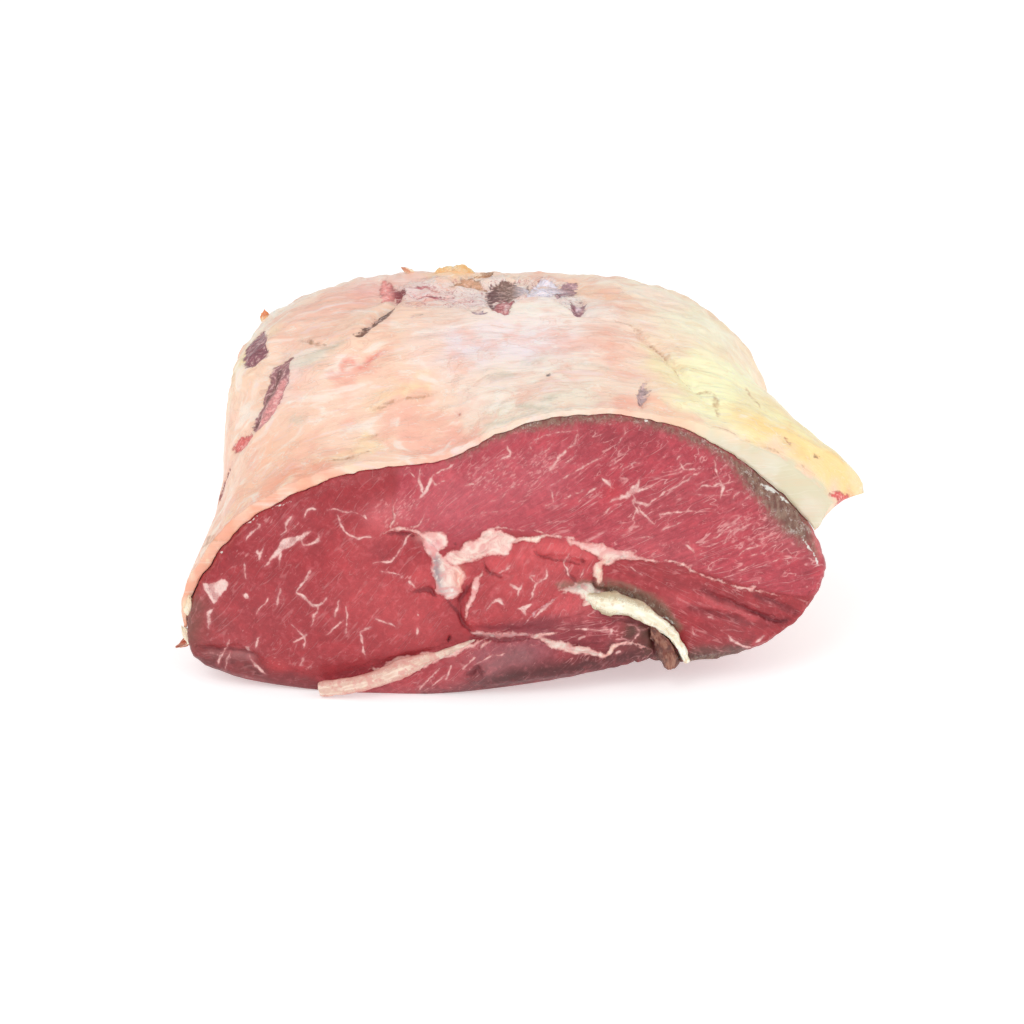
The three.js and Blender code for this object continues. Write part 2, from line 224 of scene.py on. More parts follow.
def within(spots: Array, corners: Path) -> Array:
    """Signed distance into an area.

    Args:
        spots: rows of two coordinates.
        corners: the area's corners.

    Returns:
        Distance to its edge in mm, positive inside.
    """
    ring = eased((*corners, corners[0]), 3)
    inside = np.zeros(len(spots), bool)
    for a, b in zip(ring[:-1], ring[1:]):
        if a[1] == b[1]:
            continue
        crosses = (a[1] > spots[:, 1]) != (b[1] > spots[:, 1])
        at = (b[0] - a[0]) * (spots[:, 1] - a[1]) / (b[1] - a[1]) + a[0]
        inside ^= crosses & (spots[:, 0] < at)
    gap, _ = off_path(spots, ring)
    return np.where(inside, gap, -gap)


def beside(spots: Array, points: Path, room: float) -> Array:
    """True for each spot in the box round some points, when that is widened by room on every side."""
    low, high = np.min(points, axis=0), np.max(points, axis=0)
    return np.all((spots > low - room) & (spots < high + room), axis=1)


def off_end(along: Array, share: float) -> Array:
    """Rises from 0 at both ends of a line to 1 at a share of its length from them."""
    return np.clip(np.minimum(along, 1 - along) / share, 0, 1)


def level(line: Path, at: Array) -> Array:
    """The second coordinate of a drawn line wherever its first coordinate is as given."""
    points = np.array(line, float)
    return np.interp(at, points[:, 0], points[:, 1])


def cover(spots: Array, marks: Sequence[Mark]) -> Array:
    """How deep each spot lies in any of the marks.

    Args:
        spots: rows of two coordinates in mm.
        marks: strokes and areas.

    Returns:
        Distance to the nearest mark's edge in mm, positive inside and no less than -FAR.
    """
    deepest = np.full(len(spots), -FAR)
    for mark in marks:
        if isinstance(mark, Stroke):
            near = beside(spots, mark.path, FAR + max(mark.width) / 2)
        else:
            near = beside(spots, mark.corners, FAR)
        if not near.any():
            continue
        if isinstance(mark, Area):
            depth = within(spots[near], mark.corners)
        else:
            gap, along = off_path(spots[near], eased(mark.path))
            taper = off_end(along, STROKE_TAPER) ** 0.5
            half = np.interp(along, np.linspace(0, 1, len(mark.width)), mark.width) / 2
            depth = half * (STROKE_END + (1 - STROKE_END) * taper) - gap
        deepest[near] = np.maximum(deepest[near], depth)
    return deepest


def relief(spots: Array, grooves: Sequence[Groove]) -> Array:
    """Depth of a set of grooves.

    Args:
        spots: rows of two coordinates in mm.
        grooves: the grooves.

    Returns:
        The depth in mm at each spot.
    """
    depth = np.zeros(len(spots))
    for groove in grooves:
        near = beside(spots, groove.path, GROOVE_REACH * groove.half)
        gap, along = off_path(spots[near], eased(groove.path))
        taper = GROOVE_END + (1 - GROOVE_END) * off_end(along, GROOVE_TAPER)
        depth[near] += groove.depth * taper * np.exp(-((gap / groove.half) ** 2))
    return depth


def ramp(values: Array, low: float, high: float) -> Array:
    """Soft ramp from 0 at low to 1 at high."""
    t = np.clip((values - low) / (high - low), 0, 1)
    return t * t * (3 - 2 * t)


def linear(colour: Colour) -> Array:
    """A screen colour of three bytes as linear light."""
    share = np.array(colour, float) / 255
    return np.where(share <= 0.04045, share / 12.92, ((share + 0.055) / 1.055) ** 2.4)


def cut_depth(x: Array, z: Array) -> Array:
    """How deep the plain cut, without its relief, lies behind its zero at each x and z, in mm."""
    return 0.11 * z + 16 * (np.abs(x + 18) / 150) ** 2.2


def turn_of(places: Array) -> Array:
    """Angle of each place round the line that the cross sections turn about, up from the right."""
    return np.arctan2(places[:, 2] - SECTION_AXIS[1], places[:, 0] - SECTION_AXIS[0])


def meander(places: Array) -> Array:
    """Lets the edge of the cut wander, the same for the muscle and the fat that lies on it.

    Args:
        places: rows of x, y, z in mm.

    Returns:
        The moved places.
    """
    noise = Unevenness(3)
    share = 1 - ramp(places[:, 1], *EDGE_DEPTHS)
    above = ramp(places[:, 2], FLOOR_Z + 3, FLOOR_Z + 12)
    moved = places.copy()
    for axis, shift in ((0, 0), (2, 200)):
        stray = sum(far * noise.at(places + shift, size, 2) for far, size in EDGE_STRAY)
        moved[:, axis] += stray * share * above
    return moved


class Canvas:
    """Soft colour on the vertices of a piece."""

    def __init__(self, spots: Array, base: Colour) -> None:
        """Primes every vertex, given as rows of two coordinates in mm, with the ground colour."""
        self.spots = spots
        self.colour = np.tile(linear(base), (len(spots), 1))

    def wash(self, colour: Colour, amount: Array) -> None:
        """Lays a colour over the vertices, by an amount from 0 to 1 for each."""
        self.colour += (linear(colour) - self.colour) * np.clip(amount, 0, 1)[:, None]

    def tints(self, tints: Sequence[Tint]) -> None:
        """Lays soft tints over the vertices.

        Args:
            tints: the tints in order; one with a single point is a round spot.
        """
        for tint in tints:
            path = eased(tint.path)
            if len(path) == 1:
                path = path + np.array([[0.0], [0.01]])
            gap, _ = off_path(self.spots, path)
            self.wash(tint.colour, tint.strength * np.exp(-((gap / tint.half) ** 2)))


# Mesh work


def only(piece: Piece) -> None:
    """Selects one piece alone and makes it active."""
    bpy.ops.object.select_all(action="DESELECT")
    piece.select_set(True)
    bpy.context.view_layer.objects.active = piece


def rows_of(items: bpy.types.bpy_prop_collection, name: str, width: int = 3) -> Array:
    """Reads one property of many mesh items.

    Args:
        items: vertices, edges or polygons.
        name: the property.
        width: how many numbers it has.

    Returns:
        An array of one row for each item.
    """
    flat = np.empty(len(items) * width)
    items.foreach_get(name, flat)
    return flat.reshape(-1, width)


def places_of(piece: Piece) -> Array:
    """The vertices of a piece in the millimetres of the cut, as rows of x, y, z."""
    return rows_of(piece.data.vertices, "co") / MM - CUT_ZERO


def normals_of(piece: Piece) -> Array:
    """The normals of a piece's vertices as rows of x, y, z."""
    return rows_of(piece.data.vertices, "normal")


def put(piece: Piece, places: Array) -> None:
    """Moves the vertices of a piece to places in the millimetres of the cut."""
    piece.data.vertices.foreach_set("co", ((places + CUT_ZERO) * MM).ravel())
    piece.data.update()


def copy_of(node: str, name: str) -> Piece:
    """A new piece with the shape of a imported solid, its vertices merged and its patches squared.

    Args:
        node: the solid's name.
        name: the piece's name.

    Returns:
        The new piece.
    """
    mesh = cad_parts[node].data.copy()
    mesh.name = name
    mesh.materials.clear()
    piece = bpy.data.objects.new(name, mesh)
    bpy.context.scene.collection.objects.link(piece)
    only(piece)
    bpy.ops.mesh.customdata_custom_splitnormals_clear()
    bpy.ops.object.mode_set(mode="EDIT")
    bpy.ops.mesh.select_all(action="SELECT")
    bpy.ops.mesh.remove_doubles(threshold=0.01 * MM)
    bpy.ops.mesh.tris_convert_to_quads(face_threshold=math.radians(70), shape_threshold=math.radians(75))
    bpy.ops.object.mode_set(mode="OBJECT")
    return piece


def choose(piece: Piece, part: str, chosen: Array) -> None:
    """Selects some vertices, edges or polygons of a piece and nothing else, and opens edit mode.

    Args:
        piece: the piece.
        part: VERT, EDGE or FACE.
        chosen: true for each item to select.
    """
    only(piece)
    mesh = piece.data
    for items in (mesh.vertices, mesh.edges, mesh.polygons):
        items.foreach_set("select", np.zeros(len(items), bool))
    items = {"VERT": mesh.vertices, "EDGE": mesh.edges, "FACE": mesh.polygons}[part]
    bpy.context.tool_settings.mesh_select_mode = (part == "VERT", part == "EDGE", part == "FACE")
    items.foreach_set("select", chosen)
    bpy.ops.object.mode_set(mode="EDIT")


def divide(piece: Piece, part: str, chosen: Array, cuts: int) -> None:
    """Divides some edges or faces of a piece.

    Args:
        piece: the piece.
        part: EDGE or FACE.
        chosen: true for each item to divide.
        cuts: cuts on each edge.
    """
    choose(piece, part, chosen)
    bpy.ops.mesh.subdivide(number_cuts=cuts)
    bpy.ops.object.mode_set(mode="OBJECT")


def relax(piece: Piece, chosen: Array, repeats: int, only_y: bool = False) -> None:
    """Smooths some vertices of a piece.

    Args:
        piece: the piece.
        chosen: true for each vertex to smooth.
        repeats: how often.
        only_y: moves them in depth alone.
    """
    choose(piece, "VERT", chosen)
    bpy.ops.mesh.vertices_smooth(factor=0.5, repeat=repeats, xaxis=not only_y, zaxis=not only_y)
    bpy.ops.object.mode_set(mode="OBJECT")


def keep(piece: Piece, name: str, values: Array) -> None:
    """Stores numbers, vectors or colours on the vertices of a piece for its finish to read.

    Args:
        piece: the piece.
        name: the attribute's name.
        values: one number or three for each vertex.
    """
    kind = "FLOAT" if values.ndim == 1 else "FLOAT_VECTOR"
    attribute = piece.data.attributes.new(name, kind, "POINT")
    attribute.data.foreach_set("value" if kind == "FLOAT" else "vector", values.astype(np.float32).ravel())


def triangles(piece: Piece) -> int:
    """How many triangles a piece has."""
    piece.data.calc_loop_triangles()
    return len(piece.data.loop_triangles)


def finish_piece(piece: Piece, material: bpy.types.Material, nodes: Sequence[str]) -> None:
    """Gives a piece its finish and its place in the frame.

    Args:
        piece: the piece.
        material: its finish.
        nodes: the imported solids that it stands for.
    """
    piece.data.materials.append(material)
    only(piece)
    bpy.ops.object.shade_smooth()
    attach(piece, "root")
    if nodes:
        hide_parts(*nodes)
    log.info("%s: %d triangles", piece.name, triangles(piece))


# Shader work


class Wire:
    """An output socket that takes part in sums as a number does."""

    def __init__(self, recipe: "Recipe", socket: bpy.types.NodeSocket) -> None:
        """Wraps an output socket of the material in the making."""
        self.recipe = recipe
        self.socket = socket

    def __add__(self, other: Value) -> "Wire":
        """Sum."""
        return self.recipe.math("ADD", self, other)

    def __radd__(self, other: Value) -> "Wire":
        """Sum, with the number first."""
        return self.recipe.math("ADD", other, self)

    def __sub__(self, other: Value) -> "Wire":
        """Difference."""
        return self.recipe.math("SUBTRACT", self, other)

    def __rsub__(self, other: Value) -> "Wire":
        """Difference, with the number first."""
        return self.recipe.math("SUBTRACT", other, self)

    def __mul__(self, other: Value) -> "Wire":
        """Product."""
        return self.recipe.math("MULTIPLY", self, other)

    def __rmul__(self, other: Value) -> "Wire":
        """Product, with the number first."""
        return self.recipe.math("MULTIPLY", other, self)

    def __abs__(self) -> "Wire":
        """Size without sign."""
        return self.recipe.math("ABSOLUTE", self)

    def step(self, low: float, high: float) -> "Wire":
        """Soft step from 0 at low to 1 at high.

        Args:
            low: where it starts.
            high: where it ends; below low, the step falls.

        Returns:
            The step's output.
        """
        if low > high:
            return 1 - self.step(high, low)
        settings = {"interpolation_type": "SMOOTHSTEP"}
        node = self.recipe.node(
            "ShaderNodeMapRange", settings, {"Value": self, "From Min": low, "From Max": high}
        )
        return Wire(self.recipe, node.outputs[0])


class Recipe:
    """A material's node tree in the making."""

    def __init__(self, name: str) -> None:
        """Starts an empty material.

        Args:
            name: the material's name.
        """
        self.material = bpy.data.materials.new(name)
        self.material.use_nodes = True
        self.tree = self.material.node_tree
        self.tree.nodes.clear()

    def node(self, kind: str, settings: dict | None = None, inputs: dict | None = None) -> bpy.types.Node:
        """Adds a node.

        Args:
            kind: the node's type.
            settings: its properties, set first.
            inputs: values or wires by socket name or number.

        Returns:
            The node.
        """
        node = self.tree.nodes.new(kind)
        for name, value in (settings or {}).items():
            setattr(node, name, value)
        for name, value in (inputs or {}).items():
            if isinstance(value, Wire):
                self.tree.links.new(value.socket, node.inputs[name])
            else:
                node.inputs[name].default_value = value
        return node

    def math(self, operation: str, *values: Value) -> Wire:
        """A Math node on numbers or wires, as a wire."""
        node = self.node("ShaderNodeMath", {"operation": operation}, dict(enumerate(values)))
        return Wire(self, node.outputs[0])

    def mark(self, name: str) -> Wire:
        """A number stored on the vertices."""
        return Wire(self, self.node("ShaderNodeAttribute", {"attribute_name": name}).outputs["Fac"])

    def vector(self, name: str) -> Wire:
        """A vector or colour stored on the vertices."""
        return Wire(self, self.node("ShaderNodeAttribute", {"attribute_name": name}).outputs["Vector"])

    def place(self) -> Wire:
        """Object coordinates in millimetres."""
        node = self.node("ShaderNodeTexCoord")
        return self.stretch(Wire(self, node.outputs["Object"]), (1 / MM, 1 / MM, 1 / MM))

    def stretch(self, vector: Wire, by: Triple) -> Wire:
        """A vector multiplied along each axis."""
        node = self.node("ShaderNodeVectorMath", {"operation": "MULTIPLY"}, {0: vector, 1: by})
        return Wire(self, node.outputs[0])

    def scaled(self, colour: Wire, by: Wire) -> Wire:
        """A colour made brighter or darker by a factor."""
        node = self.node("ShaderNodeVectorMath", {"operation": "SCALE"}, {0: colour, "Scale": by})
        return Wire(self, node.outputs[0])

    def noise(self, vector: Wire, size: float, detail: float = 3.0, twist: float = 0.0) -> Wire:
        """Noise of 0 to 1.

        Args:
            vector: where it is read, in mm.
            size: the size of its lumps in mm.
            detail: how many finer layers.
            twist: how far it is distorted.

        Returns:
            Its value.
        """
        inputs = {"Vector": vector, "Scale": 1 / size, "Detail": detail, "Distortion": twist}
        return Wire(self, self.node("ShaderNodeTexNoise", {}, inputs).outputs[0])

    def blend(self, amount: Value, under: "Wire | Colour", over: "Wire | Colour") -> Wire:
        """Lays a colour over another.

        Args:
            amount: how much of it shows.
            under: the colour below, as a wire or screen bytes.
            over: the colour on top.

        Returns:
            The mixed colour.
        """
        sockets = [c if isinstance(c, Wire) else (*linear(c), 1) for c in (under, over)]
        inputs = {0: amount, 6: sockets[0], 7: sockets[1]}
        return Wire(self, self.node("ShaderNodeMix", {"data_type": "RGBA"}, inputs).outputs[2])

    def surface(self, varied: dict[str, Wire], fixed: dict[str, object], height: Wire, deep: float) -> None:
        """Ends the tree with its shader.

        Args:
            varied: wires by the shader's socket.
            fixed: constants by the shader's socket.
            height: the bump height, 0 to 1.
            deep: how deep a height of 1 is, in mm.
        """
        bump = self.node("ShaderNodeBump", {}, {"Height": height, "Distance": deep * MM, "Strength": 1.0})
        inputs = {**varied, **fixed, "Normal": Wire(self, bump.outputs[0])}
        shader = self.node("ShaderNodeBsdfPrincipled", {}, inputs)
        self.node("ShaderNodeOutputMaterial", {}, {"Surface": Wire(self, shader.outputs[0])})


@dataclass(frozen=True)
class Flesh:
    """What is the same all over a finish: how light goes into it and how it shines."""

    into: float
    reach: Triple
    depth: float
    specular: float

    def fixed(self) -> dict[str, object]:
        """The constants by the shader's socket."""
        return {
            "Subsurface Weight": self.into,
            "Subsurface Radius": self.reach,
            "Subsurface Scale": self.depth * MM,
            "Specular IOR Level": self.specular,
        }


@dataclass(frozen=True)
class LeanFinish:
    """Fresh cut muscle, with its fibres, marbling, seams, gristle and dried rim, and painted shade in its
    creases.
    """

    flesh: Flesh = Flesh(0.12, (1.0, 0.25, 0.2), 1.2, specular=0.35)
    bright: Colour = (200, 72, 78)
    pale: Colour = (214, 122, 128)
    web: Colour = (232, 164, 162)
    vein_thin: Colour = (226, 158, 154)
    vein: Colour = (246, 212, 204)
    seam_edge: Colour = (236, 142, 140)
    seam_fold: Colour = (230, 148, 146)
    seam_light: Colour = (255, 240, 228)
    dried: Colour = (142, 122, 104)
    dried_deep: Colour = (102, 76, 64)
    # dark red painted shade for creases, pits and folds, also drawn as a thin line beside the web
    crease_shade: Colour = (100, 28, 36)
    white: Colour = (236, 236, 230)

    def material(self) -> bpy.types.Material:
        """The finish as a material."""
        r = Recipe("cut_muscle")
        here = r.place()
        grain = r.vector("grain")
        webbed = r.mark("webbed")
        ragged = r.noise(here, 1.3, 4) - 0.5
        fine = r.noise(here, 0.6, 3)
        patches = r.noise(here, 3.2, 3)
        colour, fibre = self.meat(r, here, grain, webbed, fine)
        colour, lines = self.web_lines(r, colour, here, grain, webbed, patches)
        # Painted shade: the crease marks darken creases, pits, notches and folds.
        crease_shade = (r.mark("crease_shade") + ragged * 1.2).step(-0.9, 0.5)
        colour = r.blend(crease_shade * 0.6, colour, self.crease_shade)
        vein_cover = r.mark("vein") + ragged * 0.8 + (patches - 0.5) * 1.6
        colour = r.blend(vein_cover.step(-1.6, 0.1) * 0.16, colour, self.pale)
        veins = vein_cover.step(-0.3, 0.35)
        vein_colour = r.blend(vein_cover.step(-0.1, 0.9), self.vein_thin, self.vein)
        faded = r.noise(here, 4.4, 3).step(0.36, 0.56) * 0.5 + fine.step(0.3, 0.6) * 0.2 + 0.28
        colour = r.blend(veins * faded, colour, vein_colour)
        seam_cover = r.mark("seam") + ragged * 1.6 + (patches - 0.5) * 2.6 - 0.4
        seam = seam_cover.step(-0.7, 0.4)
        folds = r.noise(here, 6.5, 4, 1.2)
        seam_colour = r.blend(folds.step(0.48, 0.62) * 0.6, r.vector("pale"), self.seam_fold)
        seam_colour = r.blend(abs(folds - 0.5).step(0.022, 0.0) * 0.4, seam_colour, self.seam_fold)
        seam_colour = r.blend(folds.step(0.46, 0.36) * 0.6, seam_colour, self.seam_light)
        seam_colour = r.blend(seam_cover.step(1.4, 0.0) * 0.5, seam_colour, self.seam_edge)
        colour = r.blend(seam * 0.93, colour, seam_colour)
        streaks = r.noise(r.stretch(here, (1, 1, 0.35)), 1.5, 4)
        rim = r.mark("dried") + ragged * 3 + (streaks - 0.5) * 4
        dried = rim.step(-3.4, 3.4)
        dried_colour = r.blend(streaks.step(0.32, 0.68), self.dried_deep, self.dried)
        dried_colour = r.blend((patches + fine).step(1.06, 1.3) * 0.4, dried_colour, self.white)
        colour = r.blend(dried * 0.88, colour, dried_colour)
        flecks = (r.mark("fleck") + ragged * 3.0).step(-0.3, 0.4)
        colour = r.blend(flecks * 0.85, colour, self.white)
        height = fibre * 0.6 + fine * 0.2 + lines * 0.2 + veins * 0.3 + seam * folds * 1.5 + patches * 0.4
        height = height - crease_shade * 0.6 + dried * streaks * 0.6
        gloss = 0.44 - fine * 0.14 + dried * 0.2 - seam * 0.08
        r.surface({"Base Color": colour, "Roughness": gloss}, self.flesh.fixed(), height, 0.55)
        return r.material

    def meat(self, r: Recipe, here: Wire, grain: Wire, webbed: Wire, fine: Wire) -> tuple[Wire, Wire]:
        """The red ground with its soft mottling and fibres.

        Args:
            r: the material in the making.
            here: places in mm.
            grain: places along and across the fibres.
            webbed: how much web the muscle has.
            fine: fine noise.

        Returns:
            The colour, and the fibres' height.
        """
        soft = r.noise(here, 10, 4, 0.8)
        mottle = r.noise(here, 3, 4, 0.7)
        fibre = (r.noise(r.stretch(grain, (0.15, 1, 0.6)), 1.3, 3, 0.5) - 0.5) * (webbed * 1.4).step(0, 1)
        colour = r.vector("tone")
        colour = r.blend(soft.step(0.5, 0.3) * 0.14, colour, self.bright)
        light = 1 + (soft - 0.5) * -0.4 + (mottle - 0.5) * 0.45 + fibre * 0.8 + (fine - 0.5) * 0.36
        colour = r.scaled(colour, light)
        colour = r.blend(mottle.step(0.52, 0.74) * 0.22 * webbed.step(0, 0.3), colour, self.pale)
        return colour, fibre

    def web_lines(
        self, r: Recipe, colour: Wire, here: Wire, grain: Wire, webbed: Wire, patches: Wire
    ) -> tuple[Wire, Wire]:
        """The fine pale web along the fibres, and small flecks.

        Args:
            r: the material in the making.
            colour: the colour so far.
            here: places in mm.
            grain: places along and across the fibres.
            webbed: how much web the muscle has.
            patches: noise that breaks the lines up.

        Returns:
            The new colour, and how strong the lines are.
        """
        threads = r.noise(r.stretch(grain, (0.15, 1, 1)), 5.6, 2, 0.9)
        twigs = r.noise(r.stretch(grain, (0.42, 1, 1)), 5.0, 3, 1.2)
        there = r.noise(here, 9, 2).step(0.38, 0.54)
        colour = r.blend(abs(threads - 0.5).step(0.07, 0.0) * webbed * there * 0.16, colour, self.pale)
        # A thin dark line beside each web thread, painted shade in the crease colour.
        colour = r.blend(abs(threads - 0.47).step(0.02, 0.0) * webbed * there * 0.14, colour, self.crease_shade)
        lines = abs(threads - 0.5).step(0.022, 0.004) * there * (patches.step(0.36, 0.52) * 0.8 + 0.2)
        colour = r.blend(lines * webbed * 0.8, colour, self.web)
        branch = abs(twigs - 0.46).step(0.014, 0.002) * patches.step(0.48, 0.6) * webbed.step(0, 0.3)
        colour = r.blend(branch * (webbed * 0.45 + 0.06), colour, self.web)
        dots = r.noise(r.stretch(grain, (0.5, 1, 1)), 1.3, 4, 0.5) + r.mark("frost") * 0.15
        colour = r.blend(dots.step(0.65, 0.82) * 0.5, colour, self.web)
        return colour, lines


@dataclass(frozen=True)
class OuterFatFinish:
    """Outer fat with its skin: soft tints, fine wrinkles with painted highlights and shade, ochre crinkles,
    torn rags and dark slits.
    """

    flesh: Flesh = Flesh(0.12, (1.0, 0.6, 0.42), 1.6, specular=0.4)
    # pale: the skin's pale threads, and painted highlight on the crests of folds and wrinkles
    pale: Colour = (255, 248, 238)
    # warm: random pink clouds, and painted shade in the troughs of the folds
    warm: Colour = (252, 186, 164)
    # painted shade along the folds and in the wrinkle troughs, pink here and gold on the yellow fat
    shade: Colour = (228, 168, 144)
    shade_gold: Colour = (242, 204, 146)
    lilac: Colour = (240, 218, 228)
    ochre: Colour = (176, 116, 74)
    gash: Colour = (186, 96, 106)
    grey: Colour = (188, 186, 166)
    membrane: Colour = (252, 238, 234)
    rag: Colour = (240, 206, 198)

    def material(self) -> bpy.types.Material:
        """The finish as a material."""
        r = Recipe("outer_fat")
        here = r.place()
        skin = r.vector("skin")
        ragged = r.noise(here, 1.6, 5) - 0.5
        fine = r.noise(here, 0.8, 3)
        shreds = r.noise(r.stretch(skin, (0.5, 1, 1)), 3.4, 5, 1.2)
        colour, height = self.skin_tone(r, here, skin)
        grey = (r.mark("grey") + ragged * 4).step(-2.6, 3.0)
        colour = r.blend(grey * 0.5, colour, self.grey)
        ochre = (r.mark("ochre") + ragged * 1.6).step(-0.8, 0.4)
        colour = r.blend(ochre * (r.noise(here, 5, 3).step(0.4, 0.6) * 0.5 + 0.12), colour, self.ochre)
        rag = (r.mark("rags") + ragged * 6).step(-2.5, 2.5)
        colour = r.blend(rag * shreds.step(0.44, 0.52) * 0.5, colour, self.membrane)
        gashes = abs(r.noise(here, 4.5, 4, 0.8) - 0.5).step(0.028, 0.004) + shreds.step(0.36, 0.3) * 0.8
        colour = r.blend(gashes * rag * r.noise(here, 7, 3).step(0.38, 0.56) * 0.65, colour, self.gash)
        wound = (r.mark("wound") + ragged * 2.4 + (shreds - 0.5) * 2.6).step(-0.6, 0.4)
        bits = r.noise(r.stretch(skin, (0.6, 1, 1)), 1.7, 4, 1.0)
        wound_colour = r.scaled(r.vector("wound_tone"), 1.1 + (bits - 0.5) * 2.0 + (fine - 0.5) * 0.6)
        wound_colour = r.blend(bits.step(0.54, 0.62) * 0.55, wound_colour, self.rag)
        colour = r.blend(wound * 0.92, colour, wound_colour)
        height = height - wound * 0.5 - ochre * 0.2 + rag * shreds * 2.4 + fine * 0.1 + wound * shreds * 1.6
        gloss = 0.44 - fine * 0.12 - wound * 0.06
        r.surface({"Base Color": colour, "Roughness": gloss}, self.flesh.fixed(), height, 0.6)
        return r.material

    def skin_tone(self, r: Recipe, here: Wire, skin: Wire) -> tuple[Wire, Wire]:
        """The fat's colour with its folds, wrinkles and threads, with painted highlights on their crests and
        painted shade in their troughs.

        Args:
            r: the material in the making.
            here: places in mm.
            skin: places on the unrolled skin.

        Returns:
            The colour, and the wrinkles' height.
        """
        fold = r.noise(r.stretch(skin, (0.32, 1, 1)), 13, 5, 1.8)
        wrinkle = r.noise(r.stretch(skin, (0.2, 1, 1)), 2.4, 4, 0.9)
        lines = r.noise(r.stretch(skin, (0.14, 1, 1)), 4.6, 3, 1.4)
        threads = abs(lines - 0.5).step(0.02, 0.002)
        clouds = r.noise(here, 17, 4)
        blush = r.mark("blush")
        creased = r.mark("creased")
        shade = r.blend(blush, self.shade_gold, self.shade)
        colour = r.vector("tone")
        colour = r.blend(clouds.step(0.5, 0.68) * 0.5 * blush, colour, self.warm)
        # Painted shade: warmer pink in the troughs of the folds.
        colour = r.blend(fold.step(0.46, 0.32) * 0.35 * blush, colour, self.warm)
        # Painted light and shade: brighter on the crests of folds and wrinkles, darker in their troughs; the
        # clouds vary at random.
        light = 1.02 + ((fold - 0.5) * 0.16 + (wrinkle - 0.5) * 0.16 + (clouds - 0.5) * -0.14) * creased
        colour = r.scaled(colour, light)
        # Painted highlights on the crests of folds and wrinkles, and painted shade along the folds and in
        # wrinkle troughs; the lilac lines and pale threads are the skin's own.
        colour = r.blend(fold.step(0.55, 0.68) * 0.5 * blush, colour, self.pale)
        colour = r.blend(abs(fold - 0.44).step(0.025, 0.0) * 0.3 * creased, colour, shade)
        colour = r.blend(wrinkle.step(0.6, 0.72) * 0.3 * blush, colour, self.pale)
        colour = r.blend(wrinkle.step(0.4, 0.28) * 0.2 * creased, colour, shade)
        colour = r.blend(lines.step(0.6, 0.7) * 0.25 * blush, colour, self.lilac)
        colour = r.blend(threads * 0.4 * creased, colour, self.pale)
        return colour, (wrinkle * 0.3 + fold * 0.9 + threads * 0.15) * creased


@dataclass(frozen=True)
class StrandFinish:
    """A small piece on the cut: a ground colour, edges, streaks along it and blotches."""

    name: str
    ground: Colour
    light: Colour
    edge: Colour
    blotch: Colour
    blotch_share: float
    roughness: float
    flesh: Flesh = Flesh(0.2, (1.0, 0.7, 0.5), 1.5, specular=0.5)

    def material(self) -> bpy.types.Material:
        """The finish as a material."""
        r = Recipe(self.name)
        here = r.place()
        grain = r.vector("grain")
        streak = r.noise(r.stretch(grain, (0.2, 1, 1)), 1.2, 4, 0.4)
        fine = r.noise(here, 0.6, 3)
        spots = r.noise(here, 2.6, 4)
        colour = r.blend(streak.step(0.4, 0.66), self.ground, self.light)
        limit = 0.5 + 0.22 * (1 - 2 * self.blotch_share)
        colour = r.blend(spots.step(limit - 0.06, limit + 0.1) * 0.8, colour, self.blotch)
        colour = r.blend((r.mark("edge") + (fine - 0.5) * 0.8).step(0.35, 0.95) * 0.8, colour, self.edge)
        gloss = self.roughness + (fine - 0.5) * 0.2
        height = streak * 0.6 + fine * 0.3 + spots * 0.3
        r.surface({"Base Color": colour, "Roughness": gloss}, self.flesh.fixed(), height, 0.4)
        return r.material


# Cut muscle


class Muscle(Enum):
    """The muscles that show on the cut."""

    LEFT = "left"
    UPPER_RIGHT = "upper right"
    MIDDLE = "middle"
    INNER_STRIP = "inner strip"
    LOWER_RIGHT = "lower right"
    LOWER_STRIP = "lower strip"
    LEFT_STRIP = "left strip"


@dataclass(frozen=True)
class Grain:
    """How a muscle looks: its area, the run of its fibres, its colour and how much web it has."""

    area: Path
    angle: float
    colour: Colour
    webbed: float
    stretch: float = 1.0


GRAINS: dict[Muscle, Grain] = {
    Muscle.LEFT: Grain((), 50, (165, 54, 60), 0.5, 0.8),
    Muscle.UPPER_RIGHT: Grain(
        ((-50, 112), (-52, 84), (-40, 78), (-30, 71), (-10, 80), (20, 76), (40, 68), (67, 62), (85, 56),
         (105, 47), (124, 41), (146, 38), (152, 60), (140, 78), (120, 98), (85, 128), (30, 142), (-14, 132)),
        0, (181, 68, 79), 0.8),
    Muscle.MIDDLE: Grain(
        ((-24, 58), (-16, 66), (0, 73), (20, 76), (38, 65), (41, 52), (32, 45), (36, 38), (18, 31),
         (-18, 30), (-22, 42)),
        58, (180, 66, 71), 0.6),
    Muscle.INNER_STRIP: Grain(
        ((-18, 31), (10, 38), (35, 41), (56, 36), (60, 28), (55, 23), (44, 18), (25, 22), (8, 28)),
        6, (142, 52, 60), 0.8),
    Muscle.LOWER_RIGHT: Grain(
        ((42, 60), (50, 65), (67, 62), (95, 51), (124, 41), (150, 38), (146, 26), (115, 6), (83, 6),
         (80, 22), (66, 42), (50, 52), (42, 54)),
        -28, (164, 54, 60), 0.4, 0.6),
    Muscle.LOWER_STRIP: Grain(
        ((-92, 4), (-56, 16), (-20, 24), (0, 28), (12, 27), (25, 21), (45, 18), (66, 20), (66, -6),
         (-60, -8)),
        48, (172, 70, 77), 0.8),
    Muscle.LEFT_STRIP: Grain(
        ((-160, 14), (-139, 16), (-122, 15), (-114, 9), (-92, 5), (-92, -8), (-160, -8)),
        8, (132, 54, 58), 0.4),
}
FAN_CENTRE = (-150, -20)  # the fibres of the upper right muscle fan out from here
FAN_RADIUS = 230.0
FIBRES_APART = 31.0  # keeps the noise in one muscle clear of that in the next, mm
OUT_OF_LEFT = -1.5  # the left muscle gives way where another one's area is nearer than this, mm

